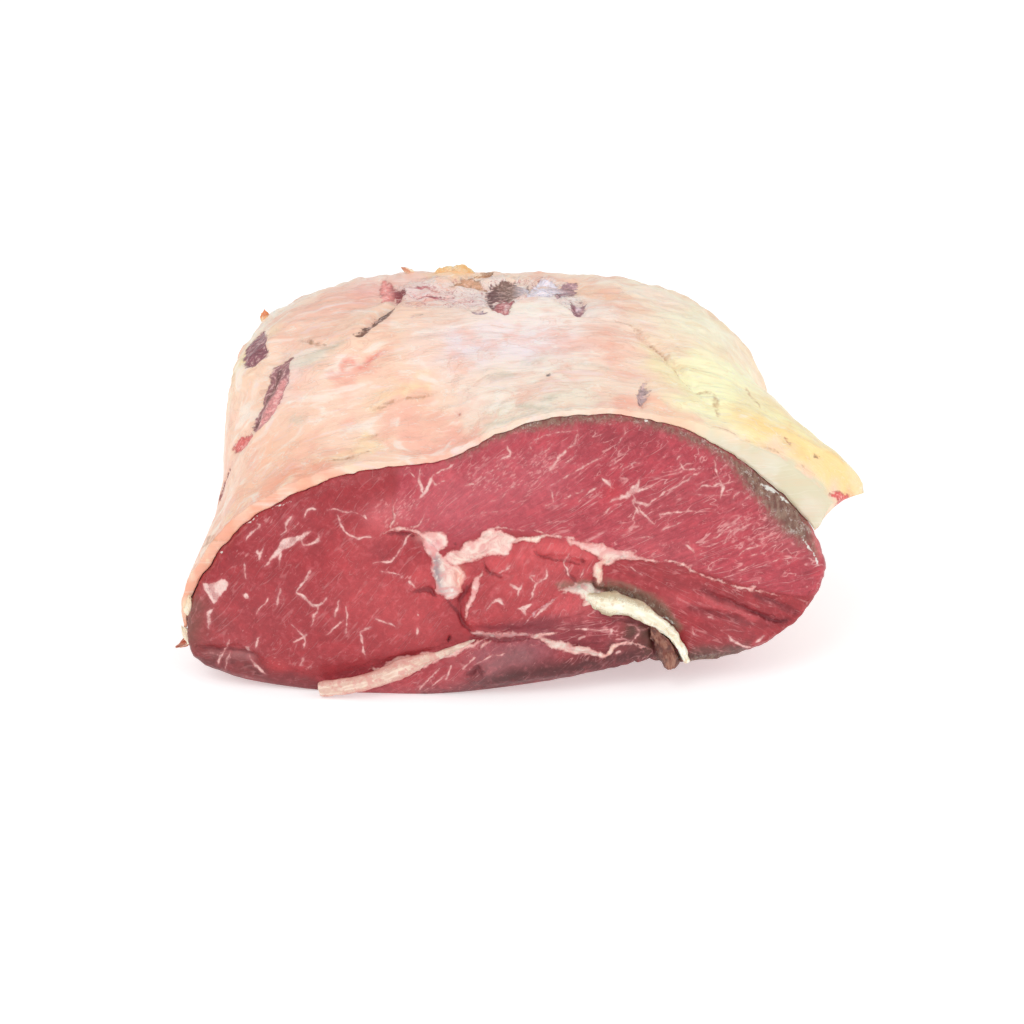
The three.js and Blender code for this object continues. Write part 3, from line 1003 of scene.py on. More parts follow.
LEFT_VEINS: Marks = (
    Area(((-142, 49), (-137, 49), (-131, 52), (-131, 46), (-136, 41), (-138, 40), (-141, 46))),
    Stroke(((-137, 37.5), (-139.5, 34), (-139, 30), (-139.5, 27)), (0.8, 1.8, 0.6)),
    Stroke(((-90, 78.5), (-94, 75), (-97, 73), (-101, 71.5), (-104, 69.5), (-108, 65), (-112.5, 59)),
           (1.2, 2.4, 4, 1.8, 0.8)),
    *strokes((1.2, 0.6), ((-105, 67), (-106, 60)), ((-78.5, 45), (-81.5, 34.5))),
    Stroke(((-95, 73), (-94, 71), (-91.5, 70.8), (-87, 73.5), (-86.5, 77)), (1, 1.6, 0.7)),
    *strokes((1.4, 0.5), ((-114, 65.5), (-112.5, 69.5)), ((-114, 65.5), (-116.5, 67)),
             ((-114, 65.5), (-114, 62))),
    Stroke(((-116, 80), (-114.5, 78.5), (-119.5, 74), (-121.5, 72)), (0.8, 1.4, 0.8)),
    *strokes((1,), ((-98.5, 84.5), (-102.5, 80), (-102, 77.5), (-104.5, 74.5)), ((-96, 16), (-98, 11.5)),
             ((-36, 103), (-34, 101), (-29, 103.5))),
    Stroke(((-91.5, 58.5), (-95.5, 52), (-98.5, 47)), (1.4, 1, 1.4)),
    Stroke(((-98.5, 47), (-96, 46), (-92, 43), (-88.5, 42), (-85.5, 44), (-84, 45.5)), (1.3, 1.7, 0.8)),
    Stroke(((-88.3, 42), (-88.5, 39), (-90.5, 36.5), (-92, 31.5)), (1.1, 0.6)),
    Stroke(((-123, 45), (-121, 44)), (2,)),
    Stroke(((-110.5, 43.5), (-117, 36.5)), (1.1, 0.9)),
    *strokes((0.7,), ((-121.3, 60.5), (-121, 53)), ((-84, 88), (-74, 88), (-70, 87.2), (-67, 86.2)),
             ((-75.5, 42), (-75, 34), (-76.5, 28))),
    *strokes((0.8,), ((-105.5, 49), (-107, 41)), ((-85, 28), (-82, 30.5), (-76.5, 35.5)),
             ((-58.5, 59), (-51.5, 58)), ((-62, 36), (-53, 32.5))),
    Stroke(((-100, 23), (-95.5, 25.8), (-94.5, 27)), (0.8, 1.4)),
    Stroke(((-95.5, 25.8), (-95.5, 20)), (1.2, 0.7)),
    Stroke(((-100.5, 32), (-96.5, 26.5)), (0.7, 1.2)),
    *strokes((1.1, 0.7), ((-118.5, 18.5), (-116, 24.5)), ((-46, 79.5), (-41, 84), (-38, 89))),
    Stroke(((-123, 18.3), (-122, 17.6)), (1.9,)),
    Stroke(((-122, 15), (-120.5, 11.5), (-115.5, 7.2), (-114, 6.2)), (0.9, 1.3, 1.2)),
    Stroke(((-130, 22.5), (-132, 19), (-135, 14.5), (-136.5, 9)), (0.9, 1.2)),
    Stroke(((-131, 16), (-133.5, 7)), (0.9,)),
    Stroke(((-63, 63.5), (-56.5, 64), (-53, 66), (-49, 71.5), (-45, 77.8)), (1.3, 0.8, 1.4)),
    Stroke(((-78, 85.5), (-76, 79), (-71, 75.5), (-63.8, 75.5)), (1.3, 0.9, 1.1)),
    Stroke(((-66.5, 87), (-65, 84.8)), (1.2,)),
    Stroke(((-94, 84.5), (-90.5, 88), (-88, 88.3)), (1.5, 0.7)),
    Stroke(((-64, 32), (-68.5, 30.5), (-69.3, 28), (-68, 22), (-67.3, 16.5)), (1.2, 1, 0.8)),
    Stroke(((-43.5, 28.5), (-43, 33)), (1.8, 0.7)),
    Stroke(((-43, 38.8), (-42.6, 38)), (1.3,)),
    Stroke(((-47, 55), (-43.5, 52.5)), (1.8, 1.2)),
    Stroke(((-52.5, 87), (-53.8, 82)), (1.6, 1)),
    Stroke(((-35.5, 105), (-38, 100), (-40, 96.5), (-42, 93.5)), (1.6, 2.2, 1)),
    Stroke(((-40.5, 97), (-42, 104), (-41, 109)), (1.5,)),
    Stroke(((-42, 103.5), (-46.5, 107)), (1.2, 0.8)),
    Stroke(((-35.5, 105), (-30.5, 108), (-26, 110.5)), (1.4, 1)),
)
UPPER_VEINS: Marks = (
    Stroke(((50.5, 94.5), (54.5, 97), (57.6, 102.4)), (2.4, 3.2, 0.7)),
    Stroke(((42.5, 91), (48, 93.4), (53, 94.8)), (0.7, 1.6, 3.2)),
    Stroke(((54, 94.5), (54.6, 90.4), (58, 85)), (2.4, 1.1, 0.7)),
    Stroke(((53.5, 96), (60, 97.8), (67, 99)), (2.2, 1.2, 0.5)),
    Stroke(((53.5, 93), (56, 91.2), (60, 90.3), (62, 90)), (1.4, 1.8)),
    Stroke(((61, 90), (65, 93.5), (70.5, 96), (78, 100), (87, 105.5)), (1.4, 1, 1.2, 0.8)),
    Stroke(((40.5, 104.5), (43, 101), (44, 98)), (0.6, 2, 0.6)),
    Stroke(((45.5, 112), (45.8, 110), (45.5, 108)), (0.7, 2, 0.7)),
    Stroke(((44.5, 90), (43, 88), (39, 84)), (0.9, 1.4, 0.6)),
    Stroke(((56.5, 87), (54.5, 82.5)), (1.2, 0.7)),
    Stroke(((57.5, 88.5), (60, 85), (64, 80)), (1, 1.2, 0.6)),
    Stroke(((73.8, 109.5), (76.3, 112)), (1.5, 1)),
    Stroke(((21, 101.5), (28.5, 107), (36, 111), (42, 114)), (0.9, 1.2, 0.8)),
    Stroke(((17, 107), (19, 112), (24, 117), (28, 120), (29, 126)), (1.4, 1, 1.2)),
    Stroke(((22.5, 110), (28, 114)), (1.4, 0.7)),
    *strokes((0.8,), ((8.5, 111.5), (13, 115), (20.5, 121.5)), ((49, 105.5), (54, 110), (58, 110)),
             ((99.5, 90), (103, 93.5), (105, 92.5)), ((67, 77.5), (77, 80.5)),
             ((52, 73), (60, 74.5), (64, 74)), ((108, 62), (115, 63.2), (122, 66)),
             ((103, 55), (109, 56.3), (111.5, 58.5)), ((115, 57), (127, 59.5), (129, 57)),
             ((121, 54.5), (129, 57)), ((47, 118), (50, 124), (49.5, 127))),
    Stroke(((8.5, 118), (9, 121), (20, 125.5), (31, 126.5)), (0.7, 1)),
    Stroke(((-2.5, 119), (-1.5, 115), (-6.5, 112)), (0.9, 1.8, 0.7)),
    Stroke(((17, 99), (18.5, 92), (14.5, 90)), (1.1, 0.8)),
    Stroke(((24, 94), (33, 97.5)), (1, 0.8)),
    Stroke(((28, 90), (34, 96), (40, 100.5)), (0.7, 1.1, 0.8)),
    Stroke(((75.5, 108), (77.5, 105.3), (84, 105)), (0.8, 1.3, 0.8)),
    Stroke(((90.5, 109), (91.5, 104), (94, 99), (95, 95), (93.5, 90.5)), (1.4, 0.9, 1.3, 1.5)),
    Stroke(((97, 108), (94, 99)), (0.8, 1.2)),
    Stroke(((83, 95), (85, 97), (90, 97.5), (102, 98)), (0.9, 0.7)),
    *strokes((0.7,), ((80, 93.8), (98, 92)), ((102, 87), (110, 92)),
             ((-22, 100), (-14, 103.5), (-8, 108.5))),
    *strokes((0.9,), ((66, 84.5), (75, 85.6), (84, 85.3)), ((86.5, 70.5), (92, 72), (98, 77), (103, 79)),
             ((102.5, 62), (107, 65.5), (116, 67))),
    Stroke(((78.5, 69.8), (82.5, 65.5), (84, 60)), (1.9, 1, 0.6)),
    Stroke(((96.5, 69), (99, 73.5), (104, 75.5), (109.5, 78)), (1.2, 1, 0.7)),
    Stroke(((113.5, 73.5), (119, 75)), (1,)),
    Stroke(((-12, 92), (-4, 96), (3, 103)), (0.6, 0.9, 0.5)),
    Stroke(((-24, 84), (-14, 87), (-6, 88.5)), (0.6,)),
)
MIDDLE_VEINS: Marks = (
    Stroke(((-1, 53.5), (3, 51), (5, 53.5)), (0.9, 1.4, 0.8)),
    Stroke(((3, 51), (2.8, 47.5)), (1.2, 0.8)),
    Stroke(((15, 61), (15.5, 57.5), (14.5, 55), (11, 54), (9, 50), (8, 46)), (0.9, 1.2, 0.8)),
    *strokes((0.8,), ((11, 54), (8.5, 57), (11, 58)), ((-6, 59), (-1, 62))),
    Stroke(((-11.5, 40.5), (-7, 46), (-3, 44)), (0.8, 1.1)),
    Stroke(((2, 42), (5, 42), (9.5, 43.5)), (1.4, 2.5, 1)),
    Stroke(((5, 42), (6, 38.5)), (1.6, 0.6)),
    Stroke(((10.5, 37.5), (16, 43), (20, 46.5)), (1.2, 1.6, 1)),
    *strokes((0.7,), ((26, 57), (24, 63), (26, 68)), ((31, 56), (33.5, 62))),
)
LOWER_VEINS: Marks = (
    Stroke(((-33.5, 13), (-38, 7), (-43, 1)), (1.2, 0.9)),
    *strokes((0.8,), ((-31, 9), (-37, 2.5)), ((-1, 20), (-8, 18.5)), ((28, 30.5), (36, 31), (44, 30))),
    *strokes((1, 0.7), ((-28, 14), (-30.5, 6.5)), ((-17, 18), (-23, 12))),
    Stroke(((-8, 19), (-14, 15.5), (-20, 12)), (1.1, 0.8)),
    Stroke(((30, 26.5), (33, 27.5)), (1,)),
    Stroke(((44.5, 26), (46, 28.5), (45.5, 30)), (1, 1.4)),
    Stroke(((48, 18.2), (51, 19)), (1.5,)),
    Stroke(((54.5, 60), (59, 55.5)), (1.2, 0.6)),
    Stroke(((82.8, 29.5), (83.5, 25.5)), (0.9, 0.6)),
    Stroke(((90, 34), (92.5, 32.8)), (1.1,)),
    Stroke(((99, 24), (102, 21), (107, 17.5), (110, 16)), (0.8, 1.6, 1.2)),
    Stroke(((113, 19), (117, 21.5)), (1.8, 1)),
    *strokes((0.7,), ((55.5, 24), (59, 28), (57, 32.5)), ((59, 28.5), (64, 30))),
)
SEAM_MARKS: Marks = (
    Stroke(((-58, 77.8), (-55, 79.5), (-48, 80.2), (-43, 79), (-40, 77)), (0.6, 2, 1.8, 3.4)),
    Stroke(((-48, 81), (-44, 81.5), (-41, 83)), (1.4, 1)),
    Area(((-41, 78.5), (-40, 72), (-38, 67), (-36, 66), (-33, 70), (-30, 70.5), (-29, 73), (-29.5, 77),
          (-32, 79), (-36, 80))),
    Area(((-31, 66), (-28, 69.5), (-24, 71), (-20, 74), (-16, 76), (-12, 79.5), (-9.5, 81), (-6, 79.5),
          (-2, 77.5), (4, 76), (12, 76.5), (15, 78), (20, 77), (27, 75.5), (27, 74.5), (20, 75.8),
          (14, 75.3), (11, 73), (6, 73.3), (1, 73), (0, 71), (-3, 67), (-11, 67), (-14, 66), (-17, 64.5),
          (-21, 64), (-26, 62), (-29, 63))),
    Stroke(((-9, 80.5), (4, 79.3), (13, 78.5), (15, 77.5)), (0.9,)),
    Area(((24, 76), (30, 73.8), (40, 72), (46, 69.5), (50, 69), (55, 67), (60, 65.5), (67, 62.8), (67, 62),
          (60, 63.3), (50, 64.3), (48, 63.5), (44, 61), (41, 62), (38, 66), (31, 70), (24, 73))),
    Stroke(((67, 62.6), (70, 63), (76, 61), (85, 56), (95, 51), (105, 47), (108, 46)), (1.4, 1.1, 1)),
    Stroke(((108, 46), (110, 45.5), (112.5, 46.6)), (1.4, 2.6, 1.4)),
    Stroke(((112, 45), (117, 43.5), (124, 41)), (1, 0.6)),
    Stroke(((41, 63), (39, 60), (40, 53)), (4, 4.6, 3)),
    Stroke(((-14, 59), (-16, 55), (-17.5, 51), (-18, 47), (-20, 42), (-21.5, 36)),
           (2.6, 4.4, 3.6, 2, 0.8)),
    Area(((-64, 11.5), (-60, 13), (-56, 16), (-50, 18.3), (-40, 19.7), (-30, 21.7), (-24, 23.4), (-16, 25.4),
          (-12, 27.6), (-14, 24.6), (-22, 20.8), (-34, 16.2), (-42, 11.8), (-50, 8.4), (-60, 5))),
    Stroke(((-28, 20.5), (-17, 24.2), (-12, 27)), (2, 2.6, 1.3)),
    Stroke(((-14.5, 22), (-12, 24.5), (-9.5, 26.5)), (1.6,)),
    Stroke(((-18.5, 30), (-11, 29), (-2, 31.5)), (0.9,)),
    Stroke(((6, 28.4), (13, 28.6), (21, 29.6)), (1.6, 3, 1.2)),
    Stroke(((12, 28), (18, 24.6), (25, 22.2), (35, 19.6), (42, 17.8), (45, 18)), (2.2, 4.4, 4.8, 4.4, 3.6)),
    Stroke(((44, 17.4), (46.5, 21.5), (49, 22.7), (55, 23.4), (60, 21), (64, 19.5)), (3.4, 1.8, 1.2, 0.9)),
    Stroke(((-52.5, 89.5), (-53.5, 84), (-55, 80.5)), (1, 1.6)),
)
GRISTLE_MARKS: Marks = (
    Area(((-37, 68), (-36.5, 60), (-35, 54), (-33.5, 49.5), (-31, 47), (-28, 46.3), (-25, 47.5), (-23, 50),
          (-22, 54), (-21, 58), (-23, 61), (-28, 64), (-31, 67), (-34, 70))),
    Stroke(((-19, 29.5), (-10, 28.5), (0, 29), (10, 29.5)), (3, 2.4)),
    Stroke(((20, 50), (28, 51), (36, 49.5)), (1.4,)),
    Area(((22, 50.5), (29, 53.4), (36, 52.6), (43, 48.6), (44, 45), (38, 42.6), (32, 42), (33, 45.4),
          (28, 48.6))),
    Stroke(((4, 33), (12, 41), (20, 47), (27, 50)), (0.6, 1, 1.2, 0.8)),
)
VEINS = (*LEFT_VEINS, *UPPER_VEINS, *MIDDLE_VEINS, *LOWER_VEINS)
PALE_MARKS = (*SEAM_MARKS, *GRISTLE_MARKS)
PALE_TINTS: tuple[Tint, ...] = (
    Tint(((-35, 66), (-33.6, 56)), 2.6, (162, 148, 152), 1),
    Tint(((-30, 50), (-27, 49.5)), 3.6, (238, 226, 218), 0.95),
    Tint(((-33, 53), (-31.5, 47.5)), 1.8, (172, 164, 166), 0.85),
    Tint(((-24, 58), (-23, 52)), 2.6, (244, 166, 146), 0.75),
    Tint(((-38, 72), (-33, 72)), 3, (248, 190, 190), 0.8),
    Tint(((6, 75.5), (13, 76.5)), 2.6, (253, 240, 218), 0.95),
    Tint(((-16, 72), (-6, 75)), 3.4, (248, 210, 198), 0.7),
    Tint(((-24, 66), (-14, 67.5)), 2.2, (254, 236, 220), 0.8),
    Tint(((28, 73), (50, 67), (66, 62.6)), 1.6, (248, 204, 198), 0.7),
    Tint(((41, 62), (39.6, 54)), 2.8, (253, 230, 204), 0.9),
    Tint(((-16, 55), (-20, 42)), 2.4, (244, 190, 186), 0.8),
    Tint(((-19, 29), (-10, 28), (0, 28.4), (10, 29)), 1.5, (142, 136, 142), 0.9),
    Tint(((20, 50), (28, 51), (40, 48)), 4, (236, 230, 216), 0.9),
    Tint(((33, 46), (38, 44)), 2.6, (250, 244, 222), 0.9),
    Tint(((24, 51.6), (32, 51.4)), 0.9, (160, 150, 144), 0.7),
    Tint(((4, 33), (12, 41), (20, 47)), 1.6, (196, 166, 186), 0.8),
    Tint(((12, 28), (25, 22), (42, 18)), 2.6, (238, 220, 206), 0.8),
    Tint(((44, 17.6), (47, 20)), 2, (252, 226, 196), 0.8),
    Tint(((-56, 14), (-36, 16), (-14, 25)), 4, (246, 200, 192), 0.7),
    Tint(((-142, 46), (-133, 49)), 4, (232, 200, 206), 0.8),
)
DRIED_MARKS: Marks = (
    Stroke(((-28, 113), (-18, 119), (-6, 125), (2, 128.5), (15, 130.8), (30, 132), (50, 131.4), (62, 129),
            (72, 125.2), (84, 118.6), (92, 114), (100, 108)), (1, 3, 6, 4.4, 3, 3, 4.4, 6.4)),
    Stroke(((98, 109), (108, 100), (115, 93), (122, 87.5), (130, 80), (136, 69), (140, 58)),
           (6.4, 10, 10, 9, 4, 1.4)),
    Area(((112, 89), (118, 90.5), (124, 89), (129, 83), (133, 78), (137, 70), (139, 64), (134, 65.5),
          (128, 69), (124, 73), (119, 79), (114, 85))),
    Stroke(((68, 14.6), (84, 12.8), (94, 12.8), (106, 13.8)), (1, 3.4, 3.4, 1.2)),
)
STAIN_MARKS: Marks = (
    Stroke(((22, 53), (30, 52.5), (42, 51), (48, 49.5), (54, 47.5), (60, 44), (65, 41), (70, 36.5),
            (77, 28)), (3, 4, 6.5, 7, 6.5, 4)),
)
DEEP_FOLD: Path = ((88, 47), (97, 41), (110, 35), (122, 28.5), (127, 28.2))
EDGE_FOLD: Path = ((112, 42.5), (123, 37), (131, 31.5))
LOW_FOLD: Path = ((82, 38.5), (95, 34.5), (108, 29.5), (118, 26))
LEFT_CREASE: Path = ((-45, 50), (-40, 51.5), (-36, 50.5), (-34.5, 47.5))
DARK_HOLE: Path = ((-28.8, 26.8), (-28.2, 26.5))
MIDDLE_NICK: Path = ((24, 60), (29, 54))
STRAND_NOTCH: Path = ((38, 57), (37.5, 52), (42, 51))
# Dark lines painted as shade in creases, pits, notches and folds, under the seams and beside the gristle and
# the nub.
CREASE_SHADE_MARKS: Marks = (
    Stroke(((-19, 54), (-22.5, 48), (-23.5, 45.5)), (1, 1.8)),
    Stroke(((-29, 46), (-24.5, 39), (-21.5, 33), (-19.5, 30)), (0.8, 1.4, 1)),
    Stroke(DARK_HOLE, (2.6,)),
    Stroke(LEFT_CREASE, (0.6, 1.6, 2.4, 1.4)),
    Stroke(((10, 69), (14, 66), (22, 64.8), (30, 63)), (0.3, 0.8, 0.4)),
    Stroke(((-12.6, 64), (-11, 59.4), (-5, 57.4)), (0.4, 0.8, 0.4)),
    Stroke(MIDDLE_NICK, (0.9,)),
    Stroke(((31, 65), (32.5, 64)), (1,)),
    Stroke(((-20, 9), (-16, 12.5), (-14, 8)), (2, 2.4, 1.2)),
    Stroke(((-19, 27.6), (-10, 26.6), (0, 26.6), (8, 26.8)), (0.6, 1.2, 0.8)),
    *strokes((1.2,), ((129, 84), (131, 82), (134.5, 76.5)), ((-25.6, 73.7), (-25, 73.4))),
    Stroke(((110, 35), (122, 28.5), (127, 28.2)), (0.3, 0.9, 0.6)),
    *strokes((0.7,), STRAND_NOTCH, ((-144, 17.5), (-130, 17.6), (-120, 16))),
    Stroke(((64, 30), (66, 22), (66.5, 17)), (1.8, 2.4, 2)),
    Stroke(((-56, 78), (-48, 78.2), (-44, 76.5)), (0.5, 0.9)),
    Stroke(((46, 34.5), (56, 33.6), (64, 30.5)), (1.2, 1.6)),
)
FLECK_MARKS: Marks = (
    Stroke(((113, 95.6), (118, 93), (122, 90)), (0.8, 2.4, 1.4)),
    Stroke(((122, 89), (126, 86), (129, 83.6)), (1.8, 0.8)),
    Stroke(((58.6, 130.4), (60.2, 129.4)), (1, 1.4)),
    Stroke(((133.2, 76.6), (133.8, 76)), (0.9,)),
    *strokes((1.2,), ((-120, 80.6), (-119, 81.4)), ((-133.3, 64.5), (-132.4, 65.1)),
             ((70.4, 17.6), (71.6, 18.2))),
    Stroke(((-121, 80), (-112, 86), (-100, 91.5)), (0.9, 0.3)),
    Stroke(((33.8, 45.9), (35.2, 45.2)), (1.4,)),
    Stroke(((-27.6, 51.4), (-26.6, 50.6)), (1.6,)),
    Stroke(((133, 68), (138, 61), (142, 53)), (0.5,)),
    Stroke(((48, 46.5), (54, 43.8)), (0.6,)),
    Stroke(((70, 35), (74, 31.5)), (0.8,)),
)
FROST_MARKS: Marks = (
    *strokes((2,), ((-132, 65), (-113, 65)), ((-113, 13), (-107, 13))),
    *strokes((2.4,), ((-116, 81), (-104, 81)), ((-103, 79.5), (-91, 79.5))),
    Area(((-62, 92), (-62, 84), (-54, 81), (-46, 84), (-42, 92), (-48, 96))),
    Area(((-20, 112), (-20, 99), (-4, 98), (16, 104), (22, 113), (8, 117))),
    Area(((96, 76), (100, 68), (120, 66), (126, 72), (116, 80), (104, 82))),
    *strokes((2.6,), ((-142, 14.5), (-127, 14)), ((-104, 13), (-93, 11))),
    Stroke(((-56, 59), (-44, 56)), (3,)),
)
CUT_TINTS: tuple[Tint, ...] = (
    # Painted highlight: brighter red on the raised lobes of the middle muscle.
    Tint(((4, 66), (14, 70), (24, 70), (34, 67)), 5, (218, 92, 96), 0.8),
    Tint(((-8, 63), (-3, 64)), 5, (216, 88, 92), 0.75),
    Tint(((0, 57), (16, 60)), 9, (206, 88, 92), 0.5),
    Tint(((-26, 60),), 3.5, (240, 160, 140), 0.8),
    Tint(((-52, 88), (-60, 85)), 7, (214, 112, 118), 0.7),
    Tint(((-36, 92), (-28, 100)), 8, (206, 96, 104), 0.5),
    Tint(((-70, 70), (-58, 80)), 8, (206, 84, 88), 0.5),
    Tint(((-42, 58), (-38, 52)), 6, (214, 88, 92), 0.5),
    Tint(((-66, 48), (-44, 38)), 16, (200, 82, 86)),
    Tint(((-119, 11), (-107, 11)), 3, (200, 70, 74), 0.7),
    Tint(((-150, 22), (-146, 36)), 8, (126, 78, 68), 0.9),
    Tint(((-140, 34), (-132, 30)), 6, (150, 66, 66), 0.5),
    Tint(((-148, 12), (-132, 11), (-118, 7)), 5, (108, 56, 56), 0.9),
    Tint(((-140, 15), (-122, 15.5)), 2, (186, 140, 136), 0.4),
    Tint(((-128, 15.5), (-120, 14)), 2, (178, 128, 128), 0.5),
    Tint(((-140, 20), (-120, 20)), 8, (158, 62, 66), 0.5),
    Tint(((-110, 40), (-125, 35)), 14, (166, 64, 70), 0.4),
    Tint(((-60, 69),), 7, (152, 60, 66)),
    Tint(((-92, 84),), 7, (166, 62, 68)),
    Tint(((-100, 84), (-116, 76)), 6, (170, 66, 72), 0.5),
    Tint(((-10, 18), (12, 22)), 9, (156, 96, 104)),
    Tint(((-46, 9), (-34, 8)), 6, (176, 60, 68)),
    Tint(((-14, 4), (0, 8), (20, 11), (40, 14), (60, 18)), 7, (88, 40, 41), 1),
    Tint(((-40, -1), (-20, 1)), 4, (112, 46, 52), 0.8),
    Tint(((-12, 12), (-2, 17), (6, 18)), 4.5, (152, 98, 101), 0.8),
    # Painted shade in the fold low in the middle.
    Tint(((-15, 10),), 4, (110, 48, 52), 0.7),
    Tint(((50, 30), (54, 27)), 6, (150, 62, 68)),
    Tint(((24, 42), (34, 40)), 6, (212, 98, 102)),
    Tint(((56, 29), (64, 27), (66, 18)), 6.5, (94, 60, 50), 0.97),
    Tint(((47, 22), (55, 22)), 3, (120, 66, 66), 0.7),
    Tint(((74, 44), (90, 38), (106, 30)), 4.5, (196, 82, 88)),
    Tint(((92, 22), (110, 24)), 7, (152, 58, 64), 0.5),
    # Painted shade along the three folds at the lower right, and a painted highlight along the crest between
    # them.
    Tint(DEEP_FOLD, 1.8, (112, 32, 40), 0.75),
    Tint(EDGE_FOLD, 1.6, (112, 32, 40), 0.7),
    Tint(LOW_FOLD, 1.8, (118, 36, 42), 0.7),
    Tint(((88, 43), (100, 37), (112, 31)), 1.8, (206, 92, 96)),
    Tint(((70, 52), (84, 49), (100, 44)), 3, (150, 52, 58), 0.5),
    Tint(((66, 16), (76, 14.8), (84, 14.2), (96, 13.6), (106, 14.6)), 2.8, (92, 44, 46), 0.95),
    Tint(((84, 17), (108, 17)), 2.5, (104, 72, 66), 0.8),
    Tint(((60, 86), (80, 96), (98, 92)), 12, (172, 72, 80), 0.5),
    Tint(((30, 122), (60, 122)), 8, (150, 62, 70), 0.5),
    Tint(((-26, 75),), 5, (168, 56, 66), 0.8),
    Tint(((-24, 92), (-6, 100), (14, 104)), 15, (200, 98, 108)),
    Tint(((45, 96),), 5, (200, 64, 72)),
    Tint(((60, 72), (80, 66)), 7, (190, 84, 92), 0.5),
    Tint(((120, 75), (130, 68)), 7, (160, 90, 92), 0.5),
    Tint(((136, 50), (140, 60)), 5, (150, 62, 70), 0.5),
    Tint(((141, 60), (139, 72)), 2.5, (226, 120, 120)),
    Tint(((-40, 76), (-36, 74)), 3, (250, 190, 184), 0.5),
)
CUT_GROOVES: tuple[Groove, ...] = (
    Groove(DEEP_FOLD, 1.9, 1.7),
    Groove(((88, 50.5), (97, 44.5), (110, 38.5), (122, 32)), 2.8, -1.1),
    Groove(EDGE_FOLD, 1.7, 1.3),
    Groove(LOW_FOLD, 1.8, 1.4),
    Groove(((82, 42), (95, 38), (108, 33)), 2.6, -1),
    Groove(((84, 34), (98, 30), (110, 25)), 2.4, -0.7),
    Groove(((-19, 54), (-22.5, 48), (-24.5, 40), (-21.5, 33), (-19.5, 30)), 1.5, 1.4),
    Groove(LEFT_CREASE, 1.8, 1.6),
    Groove(DARK_HOLE, 1.4, 2),
    Groove(((-56, 78), (-48, 78.2), (-43, 75.5), (-39, 68)), 1.3, 0.8),
    Groove(((-54, 80), (-44, 79.5), (-36, 74)), 2.4, -0.8),
    Groove(((-34, 64), (-32, 54), (-28, 49)), 4, -1.6),
    Groove(((-26, 66), (-14, 70), (-4, 74)), 4, -1),
    Groove(((24, 74), (36, 69), (46, 66)), 2.6, -0.7),
    Groove(((9, 71), (13, 66.6), (22, 65.4), (32, 63), (37, 65)), 1.5, 1.5),
    Groove(((13, 71), (24, 71), (34, 67.6)), 3.4, -1.5),
    Groove(((-13, 66), (-11, 59.5), (-5, 57.6), (1, 60), (2, 66)), 1.4, 1.3),
    Groove(((-16, 55), (-19, 44)), 2.6, -1.2),
    Groove(((2, 52), (12, 58), (18, 60)), 1.6, 0.7),
    Groove(MIDDLE_NICK, 1.4, 0.9),
    Groove(STRAND_NOTCH, 1.4, 1),
    Groove(((-88, 7.5), (-74, 11), (-62, 14.6), (-54, 19.6), (-36, 22.6)), 2, -0.6),
    Groove(((-20, 8), (-16, 12.5), (-13, 8)), 1.8, 1.6),
    Groove(((-20, 27.5), (-8, 26.6), (8, 26.8)), 1.4, 1),
    Groove(((12, 26), (22, 21.6), (42, 16)), 1.2, 0.9),
    Groove(((12, 28), (22, 23.6), (42, 18.4)), 1.6, -0.6),
    Groove(((-144, 17.5), (-130, 17.6), (-120, 16), (-112, 9)), 1.5, 1.1),
    Groove(((64, 31), (65.5, 22), (66, 17)), 2, 1.4),
    Groove(((67, 63.6), (85, 57), (105, 48), (124, 42)), 1.2, 0.5),
    Groove(((24, 52), (40, 51), (52, 47.5), (64, 41), (76, 28)), 2.4, 0.9),
)


